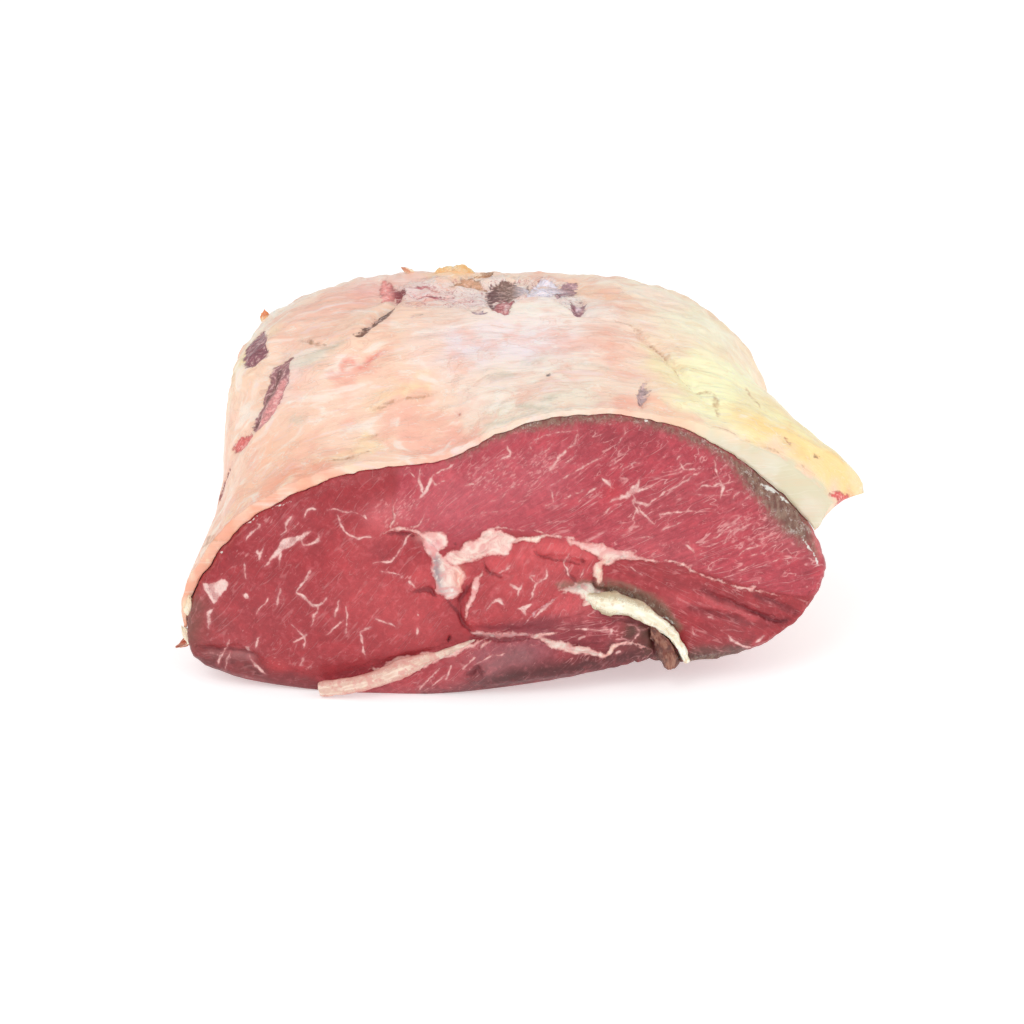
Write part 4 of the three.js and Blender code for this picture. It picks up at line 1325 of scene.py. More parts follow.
@dataclass
class CutMuscle:
    """The whole muscle body: the fresh cut in front, and its sides and underside."""

    cut_turned: float = -0.25  # faces turned further to the front than this are of the cut
    long_edge: float = 5.4  # edges on the cut longer than this are halved first, mm
    large_face: float = 8.0  # faces of the bare sides larger than this are divided, square mm
    cut_cuts: int = 3
    side_cuts: int = 2
    bare_turns: tuple[float, float] = (-178.0, 9.0)  # no fat lies between these angles
    clear_turns: tuple[float, float] = (-176.0, 0.0)  # the same, well clear of the fat's edge
    fine_zone: float = 0.7  # how near to a vein or seam the mesh is halved once more, mm
    wobble: float = 1.15  # how far drawn lines stray, mm
    vein_rise: float = 0.22  # how far veins, fibres and the swell of the meat stand up, mm
    fibre_rise: float = 0.2
    swell_rise: float = 0.45
    rim_roughness: float = 0.3  # depth of the crust on the dried rim, mm
    foot_roughness: float = 0.5  # depth of the lumps low on the sides, mm
    seam_ground: Colour = (250, 220, 208)
    stain: Colour = (134, 114, 94)
    side_red: Colour = (160, 68, 72)
    side_film: Colour = (196, 150, 140)
    lumps: Unevenness = field(default_factory=lambda: Unevenness(11))

    def build(self) -> Piece:
        """Makes the piece.

        Returns:
            The finished muscle.
        """
        piece = copy_of("lean_meat", "rump_muscle")
        self.refine(piece)
        self.shape(piece)
        self.mark(piece)
        finish_piece(piece, LeanFinish().material(), ["lean_meat"])
        return piece

    def on_cut(self, piece: Piece) -> Array:
        """True for each face of the cut, as told by its normal."""
        return rows_of(piece.data.polygons, "normal")[:, 1] < self.cut_turned

    def drawn_spots(self, places: Array) -> Array:
        """Where each vertex lies on the drawing of the cut.

        Args:
            places: rows of x, y, z in mm.

        Returns:
            Rows of x and z, strayed a little so that drawn lines come out uneven.
        """
        spots = places[:, [0, 2]] + self.wobble * self.lumps.stray(places, 5)
        proud = cut_depth(places[:, 0], places[:, 2]) - places[:, 1]
        spots[:, 1] -= SIGHT_FALL * np.clip(proud, -12, 12)
        return spots

    def refine(self, piece: Piece) -> None:
        """Divides the cut finely, the bare sides and underside less, and smooths the facets.

        Args:
            piece: the muscle.
        """
        mesh = piece.data
        ends = rows_of(mesh.edges, "vertices", 2).astype(int)
        places = places_of(piece)
        ways = places[ends[:, 0]] - places[ends[:, 1]]
        of_cut = {key for i in np.flatnonzero(self.on_cut(piece)) for key in mesh.polygons[i].edge_keys}
        touching = np.array([tuple(sorted(pair)) in of_cut for pair in ends])
        divide(piece, "EDGE", touching & (np.linalg.norm(ways, axis=1) > self.long_edge), 1)
        divide(piece, "FACE", self.on_cut(piece), self.cut_cuts)
        centres = rows_of(mesh.polygons, "center") / MM - CUT_ZERO
        turn = turn_of(centres)
        low, high = np.radians(self.bare_turns)
        bare = (turn > low) & (turn < high) & ~self.on_cut(piece)
        large = rows_of(mesh.polygons, "area", 1)[:, 0] > self.large_face * MM**2
        divide(piece, "FACE", bare & large, self.side_cuts)
        places = places_of(piece)
        spots = self.drawn_spots(places)
        busy = cover(spots, [*VEINS, *CREASE_SHADE_MARKS, *FLECK_MARKS])
        edges = -np.abs(cover(spots, PALE_MARKS))
        near = np.maximum(busy, edges) > -self.fine_zone
        chosen = self.on_cut(piece)
        for i in np.flatnonzero(chosen):
            chosen[i] = near[list(mesh.polygons[i].vertices)].any()
        divide(piece, "FACE", chosen, 1)
        self.even(piece)

    def even(self, piece: Piece) -> None:
        """Smooths the facets of the solid away, and leaves its outline as it is.

        Args:
            piece: the muscle.
        """
        places = places_of(piece)
        normals = normals_of(piece)
        relax(piece, normals[:, 1] < -0.5, 40, only_y=True)
        turn = turn_of(places)
        low, high = np.radians(self.clear_turns)
        bare = (turn > low) & (turn < high) & (normals[:, 1] > -0.2)
        relax(piece, bare & (places[:, 2] > FLOOR_Z + 1.0), 6)

    def shape(self, piece: Piece) -> None:
        """Adds grooves, folds, raised veins and the lie of the fibres to the cut.

        Args:
            piece: the muscle.
        """
        places = places_of(piece)
        spots = self.drawn_spots(places)
        normals = normals_of(piece)
        front = ramp(-normals[:, 1], 0.3, 0.75)
        grain, _ = self.grain(places)
        depth = relief(spots, CUT_GROOVES)
        depth -= self.vein_rise * ramp(cover(spots, VEINS), -0.8, 0.3)
        pale = ramp(cover(spots, PALE_MARKS), -1.0, 1.4)
        depth -= pale * (0.5 + 0.5 * self.lumps.at(places + 150, 6, 2))
        depth -= self.fibre_rise * self.lumps.at(grain * (0.25, 1, 0.3), 3.2, 2)
        depth -= self.swell_rise * self.lumps.at(places + 90, 9, 2)
        rough = ramp(cover(spots, DRIED_MARKS), -0.5, 1.5)
        depth += self.rim_roughness * rough * (0.5 + self.lumps.at(places + 40, 2.4, 2))
        places[:, 1] += depth * front
        aside = 1 - ramp(-normals[:, 1], 0.1, 0.4)
        under = aside * (places[:, 2] > FLOOR_Z + 1.5) * (places[:, 2] < 30)
        lift = self.foot_roughness * self.lumps.at(places, 6, 3) * under
        places = meander(places - normals * np.abs(lift)[:, None])
        places[:, 2] = np.maximum(places[:, 2], FLOOR_Z)
        put(piece, places)

    def grain(self, places: Array) -> tuple[Array, dict[Muscle, Array]]:
        """The run of the fibres.

        Args:
            places: rows of x, y, z in mm.

        Returns:
            Rows of mm along the fibres, across them and into the meat, and how deep each vertex
            lies in each muscle's area.
        """
        spots = places[:, [0, 2]]
        depths = {m: within(spots, g.area) for m, g in GRAINS.items() if g.area}
        result = np.zeros_like(places)
        done = np.full(len(places), OUT_OF_LEFT)
        for muscle, g in GRAINS.items():
            a = math.radians(g.angle)
            along = spots @ (math.cos(a), math.sin(a)) * g.stretch
            across = spots @ (-math.sin(a), math.cos(a))
            if muscle is Muscle.UPPER_RIGHT:
                way = spots - FAN_CENTRE
                along = np.linalg.norm(way, axis=1)
                across = FAN_RADIUS * np.arctan2(way[:, 1], way[:, 0])
            run = np.stack([along, across, places[:, 1]], axis=1)
            run += FIBRES_APART * list(Muscle).index(muscle)
            deeper = np.ones(len(places), bool) if not g.area else depths[muscle] > done
            result[deeper] = run[deeper]
            if g.area:
                done = np.maximum(done, depths[muscle])
        return result, depths

    def mark(self, piece: Piece) -> None:
        """Stores what the finish reads.

        Args:
            piece: the muscle.
        """
        places = places_of(piece)
        spots = self.drawn_spots(places)
        grain, depths = self.grain(places)
        pale = Canvas(spots, self.seam_ground)
        pale.tints(PALE_TINTS)
        keep(piece, "pale", pale.colour)
        canvas = Canvas(spots, GRAINS[Muscle.LEFT].colour)
        first, second = np.sort([np.full(len(places), OUT_OF_LEFT), *depths.values()], axis=0)[:-3:-1]
        calm = ramp(first - second, 1.6, 3.6) * (0.5 + 0.5 * ramp(spots[:, 0], 0, 60))
        webbed = np.full(len(places), GRAINS[Muscle.LEFT].webbed)
        for muscle, depth in depths.items():
            share = ramp(depth, -2, 2)
            canvas.wash(GRAINS[muscle].colour, share)
            webbed += (GRAINS[muscle].webbed - webbed) * share
        canvas.tints(CUT_TINTS)
        stain = cover(spots, STAIN_MARKS) + 2.6 * self.lumps.at(grain * (0.4, 1, 0.5), 2.6, 3)
        canvas.wash(self.stain, 0.6 * ramp(stain, -2.4, 1.8))
        side = 1 - ramp(-normals_of(piece)[:, 1], 0.1, 0.45)
        canvas.wash(self.side_red, side * 0.8)
        canvas.wash(self.side_film, side * ramp(self.lumps.at(places, 16, 3), 0.1, 0.5) * 0.6)
        keep(piece, "tone", canvas.colour)
        keep(piece, "grain", grain)
        light = ramp(canvas.colour.sum(axis=1), 0.06, 0.32)
        keep(piece, "webbed", webbed * (1 - side) * calm * light)
        off_cut = side * FAR
        fine = 0.16 * ramp(depths[Muscle.UPPER_RIGHT], -2, 2)
        keep(piece, "vein", cover(spots, VEINS) - fine - off_cut)
        keep(piece, "seam", cover(spots, PALE_MARKS) - off_cut)
        dried = np.maximum(cover(spots, DRIED_MARKS), cover(spots, STAIN_MARKS) - 1.6)
        keep(piece, "dried", dried - off_cut * 0.5)
        # painted shade in creases, pits and folds
        keep(piece, "crease_shade", cover(spots, CREASE_SHADE_MARKS) - off_cut)
        keep(piece, "fleck", cover(spots, FLECK_MARKS) - off_cut)
        keep(piece, "frost", ramp(cover(spots, FROST_MARKS), -2.5, 1.5) * (1 - side))


# Outer fat


@dataclass(frozen=True)
class Wound:
    """A tear, slit or bare spot in the skin, and the colour of what shows in it."""

    mark: Mark
    colour: Colour


GREY_FLECK: Path = ((25, 45.4), (26.5, 44.6))
WOUNDS: tuple[Wound, ...] = (
    Wound(Stroke(((-66, 77), (-62, 80), (-58, 86), (-53, 95), (-50, 103)), (1.6, 3.4, 4.8, 4.4, 3)),
          (122, 84, 70)),
    Wound(Stroke(((-62, 81), (-58, 87), (-52, 98)), (1, 2, 1.2)), (72, 44, 40)),
    Wound(Stroke(((-56, 137), (-54, 122), (-55, 107)), (4, 7, 3)), (238, 146, 140)),
    Wound(Area(((-52, 128), (-47, 119), (-47, 110), (-51, 108))), (146, 46, 56)),
    Wound(Stroke(((-46, 121), (-38, 123), (-30, 120)), (1.4, 2.2, 1)), (214, 120, 128)),
    Wound(Stroke(((-42, 114), (-32, 112), (-24, 115)), (1, 1.8, 1)), (206, 110, 120)),
    Wound(Stroke(((-26, 126), (-16, 129), (-9, 124)), (2.6, 6, 3.4)), (216, 164, 130)),
    Wound(Area(((-5, 128), (1, 132), (8, 135), (14, 129), (13, 117), (5, 111), (1, 105), (-5, 112))),
          (140, 104, 92)),
    Wound(Area(((-4, 107), (1, 104), (5, 109), (6, 100), (5, 91), (3, 85), (-3, 88), (-5, 93))),
          (190, 100, 106)),
    Wound(Stroke(((1, 102), (3, 95), (2, 88)), (1, 2, 1)), (236, 190, 190)),
    Wound(Stroke(((-6, 128), (-6, 111), (-5, 91)), (2.6, 2.6, 1.4)), (92, 40, 48)),
    Wound(Stroke(((-16, 92), (-12, 88), (-7, 87)), (1.4, 2.2, 1.4)), (158, 128, 150)),
    Wound(Area(((14, 118), (20, 133), (28, 131), (27, 115), (19, 107), (14, 108))), (244, 236, 248)),
    Wound(Stroke(((15, 107), (21, 105), (27, 108)), (1.8, 1.2)), (120, 88, 96)),
    Wound(Area(((28, 120), (32, 131), (38, 132), (38, 123), (33, 114), (29, 111))), (182, 140, 150)),
    Wound(Stroke(((28, 118), (34, 112), (37, 106)), (1.6, 2.4, 1.4)), (110, 66, 76)),
    Wound(Area(((36, 113), (40, 109), (41.4, 101), (39.4, 92), (36, 87.6), (35, 92), (34.6, 102))),
          (160, 106, 118)),
    Wound(Stroke(((38, 107), (38.6, 98)), (1, 1.8)), (232, 206, 214)),
    Wound(Area(((-98, 108), (-96, 92), (-99, 86), (-104, 85), (-107, 92), (-106, 108), (-102, 117))),
          (136, 68, 88)),
    Wound(Area(((-93, 82), (-91.5, 76), (-96, 68), (-104, 61), (-113, 57), (-120, 59), (-119, 68),
                (-111, 71), (-102, 78))), (158, 104, 112)),
    Wound(Stroke(((-121, 58.5), (-108, 61), (-98, 69)), (2, 4.6, 2.4)), (222, 146, 146)),
    Wound(Stroke(((-119, 65), (-108, 68), (-98, 76)), (2, 2.6, 1.4)), (104, 54, 62)),
    Wound(Stroke(((-133, 72), (-128, 67), (-122, 60)), (5, 6.5, 2.4)), (220, 96, 94)),
    Wound(Area(((71, 47), (72.8, 39), (72.4, 30), (70, 24.6), (69.4, 32), (69.6, 40))), (184, 158, 162)),
    Wound(Stroke(((70.8, 30), (70, 24.8)), (2.2, 1)), (112, 62, 64)),
    Wound(Stroke(((118, 36), (120.6, 34)), (1, 0.5)), (196, 124, 92)),
    Wound(Stroke(((127.6, 38), (128.4, 36.6)), (0.6,)), (186, 140, 100)),
    Wound(Stroke(((-157, 77), (-148, 72), (-139, 67)), (7, 4, 1.4)), (158, 70, 70)),
    Wound(Stroke(((140, 30), (144, 36), (147, 41)), (2.6, 3.6, 2)), (214, 84, 84)),
    Wound(Stroke(((-43, 86), (-41, 89.6), (-37.6, 90)), (0.9, 0.6)), (204, 172, 196)),
    Wound(Stroke(((-28.6, 36), (-27.4, 36)), (1.8,)), (236, 130, 116)),
    Wound(Stroke(GREY_FLECK, (1.3,)), (140, 130, 130)),
    Wound(Stroke(((-86, 87), (-82, 81), (-79, 78)), (1.4,)), (206, 160, 130)),
    Wound(Stroke(((-182, 22), (-176, 26)), (2.4, 1)), (170, 90, 80)),
)
WOUND_MARKS = tuple(wound.mark for wound in WOUNDS)
RAGS_SKIN: Marks = (
    Area(((-48, 113), (-44, 99), (-34, 96), (-22, 95), (-12, 90), (-6, 96), (-6, 120), (-14, 134),
          (-24, 130), (-36, 133), (-48, 128))),
    Area(((-6, 92), (2, 86), (6, 98), (14, 104), (26, 104), (35, 90), (40, 102), (37, 120), (30, 134),
          (12, 138), (-6, 138), (-10, 122))),
)
SKIN_EDGE: Path = (
    (-134, 58), (-123, 57), (-112, 63), (-100, 70), (-93, 75), (-82, 73), (-72, 74), (-66, 78), (-58, 85),
    (-53, 95), (-49, 104), (-40, 103), (-30, 104), (-20, 101), (-8, 95), (0, 89), (6, 96), (14, 104),
    (24, 103), (32, 92), (38, 88), (50, 87), (57, 83), (62, 82), (66, 75), (74, 71), (83, 59), (91, 49),
    (98, 40), (106, 30),
)  # where the thin front skin ends and the torn fat behind it begins
WEDGE_EDGE: Path = ((60, 14), (84, 21), (101, 24), (126, 29), (139, 31))  # top of the white wedge
OCHRE_SKIN: Marks = (
    Stroke(((-75, 45.5), (-70, 44.6), (-57, 45.4), (-38, 48)), (1, 0.5)),
    Stroke(((-102, 24), (-94, 23), (-86, 24.4)), (0.8, 1.2, 0.5)),
    Stroke(((-89, 30), (-77, 34)), (0.8,)),
    Stroke(((53, 86), (62, 83.4), (66, 76), (76, 68), (83, 57), (90, 46.4)), (0.9, 0.6, 0.9, 0.7, 0.6)),
    Stroke(((90, 46.4), (94, 48), (97, 41), (99, 34)), (0.4, 0.7, 0.3)),
    Stroke(((-160, 44), (-152, 25), (-150, 20)), (4, 3)),
    Stroke(((104, 62), (109, 50)), (0.7,)),
    Stroke(((99, 25), (108, 25), (116, 27), (126, 30), (135, 31.6)), (0.5,)),
)
GREY_SKIN: Marks = (
    Stroke(((-94, 71), (-82, 72), (-72, 78)), (4, 6, 4)),
    *strokes((3,), ((-105, 51), (-101, 49)), ((-8, 47), (8, 47))),
    *strokes((2,), ((12, 56), (24, 56)), ((-10, 24), (10, 20), (40, 20))),
    Stroke(((24, 31), (32, 31)), (2.4,)),
    Stroke(((10, 30), (20, 26), (28, 23)), (3.4,)),
    Stroke(((40, 50), (56, 50)), (1.4,)),
    Stroke(GREY_FLECK, (1.6,)),
)
SKIN_TINTS: tuple[Tint, ...] = (
    Tint(((20, 100), (20, 60)), 40, (254, 239, 226), 0.8),
    # Painted highlight: near white along the top of the fat at the left and the right, where the light falls
    # on it.
    Tint(((-100, 126), (-84, 134), (-60, 142), (-30, 146)), 11, (255, 250, 234), 0.85),
    Tint(((50, 148), (66, 136), (84, 120), (100, 96)), 12, (255, 250, 226), 0.85),
    Tint(((-46, 120), (-26, 108), (-12, 112)), 10, (246, 202, 204), 0.7),
    Tint(((-30, 68), (30, 68)), 13, (243, 228, 232), 0.85),
    Tint(((-10, 110), (40, 105)), 20, (248, 236, 232), 0.7),
    Tint(((0, 32), (50, 34)), 15, (240, 232, 212), 0.75),
    Tint(((-20, 40), (40, 44)), 8, (247, 222, 208)),
    Tint(((-80, 61.5), (-70, 65.5), (-58, 67.5)), 2.2, (238, 118, 106), 0.9),
    Tint(((-76, 59), (-66, 62)), 3.5, (246, 164, 146), 0.8),
    Tint(((-82, 65), (-72, 69)), 2.5, (255, 236, 224), 0.8),
    Tint(((-76, 46.5), (-60, 49), (-44, 52)), 3, (252, 226, 172), 0.75),
    Tint(((-104, 26), (-92, 26), (-80, 33)), 4, (252, 224, 174), 0.75),
    Tint(((-96, 76), (-88, 78)), 3, (222, 212, 190)),
    Tint(((-104, 62), (-92, 67)), 5, (246, 214, 214)),
    Tint(((-80, 92), (-70, 96)), 5, (222, 180, 150), 0.5),
    Tint(((-61, 37),), 12, (252, 178, 158), 0.7),
    Tint(((-60, 22), (-20, 22)), 7, (252, 176, 160), 0.65),
    Tint(((-118, 28), (-114, 32)), 8, (252, 182, 162)),
    Tint(((-35, 67),), 7, (252, 206, 176)),
    Tint(((-100, 40), (-80, 50)), 16, (253, 212, 190)),
    Tint(((-122, 104), (-108, 100)), 12, (251, 232, 182), 0.75),
    Tint(((-92, 88), (-74, 96)), 8, (250, 206, 186)),
    Tint(((-81, 104), (-71, 107)), 6, (248, 184, 172), 0.7),
    Tint(((8, 92), (32, 94)), 6, (255, 240, 222), 0.7),
    Tint(((-64, 112), (-62, 124)), 6, (240, 160, 156)),
    Tint(((-80, 100), (-74, 130)), 12, (250, 200, 178), 0.75),
    Tint(((-60, 130), (-40, 140)), 12, (246, 186, 178)),
    Tint(((-30, 140), (-20, 136)), 6, (252, 204, 146), 0.8),
    Tint(((-32, 112), (-20, 108)), 9, (246, 196, 190), 0.7),
    Tint(((38, 68), (58, 76)), 10, (252, 196, 176), 0.65),
    Tint(((38, 126), (52, 112), (60, 104)), 9, (250, 194, 158), 0.75),
    Tint(((-122, 42), (-138, 28)), 12, (252, 188, 158)),
    Tint(((-152, 34), (-130, 38), (-108, 40)), 10, (252, 202, 172), 0.7),
    Tint(((-143, 24),), 5, (247, 160, 118), 0.8),
    Tint(((-154, 23),), 4, (245, 152, 118), 0.8),
    Tint(((-118, 23), (-106, 21)), 4, (248, 170, 132), 0.7),
    Tint(((62, 26), (78, 32), (90, 24)), 6, (252, 178, 156), 0.8),
    Tint(((58, 45), (62, 60)), 10, (250, 210, 190)),
    Tint(((85, 90), (80, 120)), 18, (255, 248, 218), 0.85),
    Tint(((96, 38), (98, 62), (110, 90)), 15, (255, 252, 208), 1),
    Tint(((84, 66), (98, 50), (108, 36)), 7, (255, 252, 206), 0.9),
    Tint(((70, 68), (80, 56), (90, 42)), 4.5, (246, 230, 180), 0.7),
    Tint(((118, 50), (140, 60)), 16, (255, 244, 188), 1),
    Tint(((108, 36), (128, 39), (142, 38)), 7, (255, 220, 152), 0.95),
    Tint(((118, 58), (126, 54)), 5, (252, 226, 172), 0.8),
    Tint(((98, 84), (104, 100)), 8, (252, 214, 186), 0.5),
    Tint(((74, 118), (70, 128)), 8, (252, 214, 200)),
    Tint(((100, 125), (118, 118)), 12, (252, 234, 190)),
    Tint(((147, 40), (149, 34)), 3.5, (238, 128, 112), 0.8),
    Tint(((-160, 60), (-150, 30)), 12, (250, 206, 178)),
    Tint(((-170, 30), (-176, 24)), 8, (244, 190, 160), 0.5),
)
SKIN_GROOVES: tuple[Groove, ...] = (
    Groove(((-88, 126), (-72, 136), (-44, 142), (-10, 142), (28, 142), (50, 138)), 13, -2),
    Groove(((-92, 118), (-78, 112), (-62, 108)), 5, -1.4),
    Groove(((-66, 78), (-58, 85), (-53, 95), (-50, 104), (-49, 120), (-50, 128)), 2.6, 2),
    Groove(((-72, 76), (-62, 84), (-57, 96)), 4, -1),
    Groove(((-104, 87), (-98, 95), (-100, 110)), 3.2, 1.2),
    Groove(((-123, 62), (-112, 68), (-100, 75)), 3.6, 1.2),
    Groove(((-5, 91), (-6, 104), (-6, 118), (0, 128)), 2.2, 1.6),
    Groove(((26, 124), (33, 114), (39, 105), (35, 90)), 3, 1.4),
    Groove(((15, 128), (20, 116), (24, 108)), 3.6, -1.2),
    Groove(((16, 107), (25, 110)), 1.2, 0.8),
    Groove(((53, 86), (62, 83.4), (66, 76), (76, 68), (83, 57), (91, 47)), 1.6, 1.5),
    Groove(((60, 94), (74, 84), (87, 67), (99, 51), (109, 35)), 6, -1.8),
    Groove(((94, 51), (99, 40)), 1.2, 0.6),
    Groove(((70.5, 48), (71, 34), (70, 26)), 1.2, 0.9),
    Groove(((-82, 61), (-70, 65), (-58, 67)), 1.5, 0.8),
    Groove(((-93, 70), (-80, 70), (-73, 75)), 2, 0.8),
    Groove(((-77, 45.5), (-70, 44), (-50, 48), (-36, 48.5)), 1, 0.45),
    Groove(((-103, 24), (-95, 23), (-86, 25.5)), 1.2, 0.5),
    Groove(((-88, 27), (-78, 35)), 1, 0.4),
    Groove(((-40, 62), (-10, 66), (20, 63), (44, 66)), 1.3, 0.4),
    Groove(((-30, 52), (0, 55), (36, 52)), 1.1, 0.35),
    Groove(((-50, 72), (-24, 76), (10, 74)), 1.5, 0.5),
    Groove(((-44, 40), (-10, 42), (30, 40), (54, 42)), 1, 0.35),
    Groove(((-36, 30), (0, 31), (44, 30)), 1, 0.3),
)


@dataclass
class OuterFat:
    """The fat that wraps the top, sides and back, with its torn hollow, slits and wrinkles."""

    skin_cuts: int = 6
    back_depth: float = 150.0  # behind this the skin isn't in the photograph's view, mm
    cut_width: float = 3.5  # how far behind the cut the rim of the fat keeps the solid's shape, mm
    wobble: float = 1.2  # how far drawn lines stray, mm
    hollow_depth: float = 1.3  # how far the torn fat lies below the front skin, mm
    lip_height: float = 0.6  # how far the front skin's edge stands up, mm
    rag_depth: float = 2.0  # depth of the torn rags, of slits, wrinkles and wide lumps, mm
    slit_depth: float = 1.1
    wrinkle_depth: float = 0.3
    lump_depth: float = 1.1
    ground: Colour = (252, 212, 187)
    back_gold: Colour = (252, 240, 206)
    back_pink: Colour = (250, 208, 186)
    wedge: Colour = (223, 214, 184)
    wedge_light: Colour = (236, 229, 210)
    wedge_rim: Colour = (250, 196, 180)
    foot_pink: Colour = (247, 172, 142)
    foot_cream: Colour = (255, 232, 200)
    lumps: Unevenness = field(default_factory=lambda: Unevenness(23))

    def build(self) -> Piece:
        """Makes the piece.

        Returns:
            The finished outer fat.
        """
        piece = copy_of("fat_cap", "outer_fat")
        self.refine(piece)
        self.shape(piece)
        self.mark(piece)
        finish_piece(piece, OuterFatFinish().material(), ["fat_cap"])
        return piece

    @staticmethod
    def unrolled(places: Array) -> Array:
        """Places on the unrolled skin.

        Args:
            places: rows of x, y, z in mm.

        Returns:
            Rows of u and v in mm.
        """
        turn = turn_of(places)
        turn = np.where(turn < -math.pi / 2, turn + 2 * math.pi, turn)
        return np.stack([SKIN_SCALE * (math.pi / 2 - turn), places[:, 1]], axis=1)

    def run(self, places: Array) -> Array:
        """The run of the skin's wrinkles, which carries on down the back.

        Args:
            places: rows of x, y, z in mm.

        Returns:
            Rows of mm along the wrinkles, across them and in height.
        """
        low = ramp(-places[:, 2], -60, -45) * (1 - ramp(np.abs(places[:, 0]), 70, 110))
        back = ramp(places[:, 1] + 80 * low, self.back_depth - 30, self.back_depth + 5)[:, None]
        skin = np.column_stack([self.unrolled(places), places[:, 2] * 0.5])
        behind = np.column_stack([places[:, 0], self.back_depth + 130 - places[:, 2], places[:, 1] * 0.5])
        return skin + (behind - skin) * back

    def outward(self, places: Array, normals: Array) -> Array:
        """How far normals point away from the middle of the joint.

        Args:
            places: rows of x, y, z in mm.
            normals: a normal for each.

        Returns:
            Values from -1, inwards, to 1, outwards.
        """
        away = places - (SECTION_AXIS[0], 90, SECTION_AXIS[1])
        away[:, 1] = np.maximum(places[:, 1] - 120, 0)
        away /= np.linalg.norm(away, axis=1)[:, None]
        return np.sum(away * normals, axis=1)

    def refine(self, piece: Piece) -> None:
        """Divides the skin finely and smooths its facets away.

        Args:
            piece: the fat.
        """
        mesh = piece.data
        centres = rows_of(mesh.polygons, "center") / MM - CUT_ZERO
        normals = rows_of(mesh.polygons, "normal")
        skin = (self.outward(centres, normals) > 0.15) | (normals[:, 1] < -0.6)
        divide(piece, "FACE", skin, self.skin_cuts)
        places = places_of(piece)
        normals = normals_of(piece)
        soft = (self.outward(places, normals) > 0.45) & (normals[:, 1] > -0.35)
        relax(piece, soft, 24)

    def shape(self, piece: Piece) -> None:
        """Adds lumps, wrinkles, slits, the torn hollow and raised rags to the skin.

        Args:
            piece: the fat.
        """
        places = places_of(piece)
        normals = normals_of(piece)
        spots = self.unrolled(places) + self.wobble * self.lumps.stray(places, 7)
        outer = ramp(self.outward(places, normals), 0.3, 0.7)
        rim = ramp(places[:, 1] - self.rim_depth(places), 0.5, 6)
        depth = relief(spots, SKIN_GROOVES)
        behind = spots[:, 1] - level(SKIN_EDGE, spots[:, 0])
        inner = ramp(spots[:, 0], -134, -118) * (1 - ramp(spots[:, 0], 92, 106))
        bare = ramp(behind, -0.3, 1.6) * inner
        sunk = 1 - 1.9 * ramp(spots[:, 0], 38, 54)
        lip = self.lip_height * np.exp(-(((behind + 2.5) / 2.5) ** 2))
        depth += self.hollow_depth * bare * sunk - lip * inner * sunk
        rags = ramp(cover(spots, RAGS_SKIN), -2.5, 1.5)
        slits = ramp(cover(spots, WOUND_MARKS), -1.0, 0.6)
        depth += rags * (0.2 + self.rag_depth * self.lumps.at(places + 60, 5, 4)) + self.slit_depth * slits
        depth += self.wrinkle_depth * self.lumps.at(self.run(places) * (0.22, 1, 0.4), 4.2, 3)
        depth += (self.lump_depth + 0.9 * bare) * self.lumps.at(places, 17, 3)
        depth += (0.12 + 0.7 * bare) * self.lumps.at(places, 4.6, 3)
        depth += 1.0 * ramp(places[:, 1], 95, 125) * self.lumps.at(places + 33, 8, 2)
        most = 1.8 + 2.2 * ramp(places[:, 1], 30, 80)
        least = -1.6 - 2.2 * ramp(places[:, 1], 80, 110)
        depth = np.clip(depth, least, most) * outer * rim
        put(piece, meander(places - normals * depth[:, None]))

    def rim_depth(self, places: Array) -> Array:
        """How deep the cut edge of the fat lies behind the zero of the cut, in mm."""
        return cut_depth(places[:, 0], places[:, 2]) + self.cut_width

    def mark(self, piece: Piece) -> None:
        """Stores what the finish reads.

        Args:
            piece: the fat.
        """
        places = places_of(piece)
        skin = self.unrolled(places)
        stray = self.lumps.stray(places, 7)
        spots = skin + self.wobble * stray
        canvas = Canvas(spots + 5 * stray, self.ground)
        behind = ramp(places[:, 1], self.back_depth - 25, self.back_depth + 10)
        canvas.tints(SKIN_TINTS)
        side = skin[:, 0] + (places[:, 0] - skin[:, 0]) * ramp(places[:, 1], 90, 140)
        canvas.wash(self.back_gold, ramp(side + 8 * stray[:, 0], 30, 100) * behind * 0.8)
        canvas.wash(self.back_pink, behind * ramp(self.lumps.at(places, 24, 3), -0.1, 0.5) * 0.6)
        normals = normals_of(piece)
        cut = ramp(-normals[:, 1] + 0.2 * stray[:, 0], 0.5, 0.72) * (places[:, 1] < 60)
        below = level(WEDGE_EDGE, skin[:, 0]) + 1.5 * stray[:, 1] - skin[:, 1]
        cut_right = cut * ramp(skin[:, 0], 55, 85) * ramp(below, -1, 2)
        canvas.wash(self.wedge, cut_right)
        canvas.wash(self.wedge_light, cut_right * ramp(self.lumps.at(places, 9, 3), -0.2, 0.5) * 0.6)
        canvas.wash(self.wedge_rim, cut_right * ramp(cut, 0.9, 0.4) * 0.7)
        mottle = self.lumps.at(places + 20, 8, 3)
        low_left = ramp(-skin[:, 0], 80, 120) * (1 - ramp(skin[:, 1], 24, 34))
        canvas.wash(self.foot_pink, low_left * ramp(mottle, 0.0, 0.4) * 0.75)
        canvas.wash(self.foot_cream, low_left * ramp(mottle, -0.05, -0.35) * 0.7)
        keep(piece, "tone", canvas.colour)
        keep(piece, "skin", self.run(places))
        keep(piece, "creased", 1 - 0.55 * cut)
        keep(piece, "blush", 1 - 0.85 * ramp(side + 6 * stray[:, 0], 52, 84))
        clear = cut_right * FAR
        tones = Canvas(spots, WOUNDS[0].colour)
        for wound in WOUNDS:
            tones.wash(wound.colour, ramp(cover(spots, [wound.mark]), -1.4, 0.2))
        keep(piece, "wound_tone", tones.colour)
        keep(piece, "wound", cover(spots, WOUND_MARKS))
        keep(piece, "rags", cover(spots, RAGS_SKIN))
        keep(piece, "ochre", cover(spots, OCHRE_SKIN) - clear)
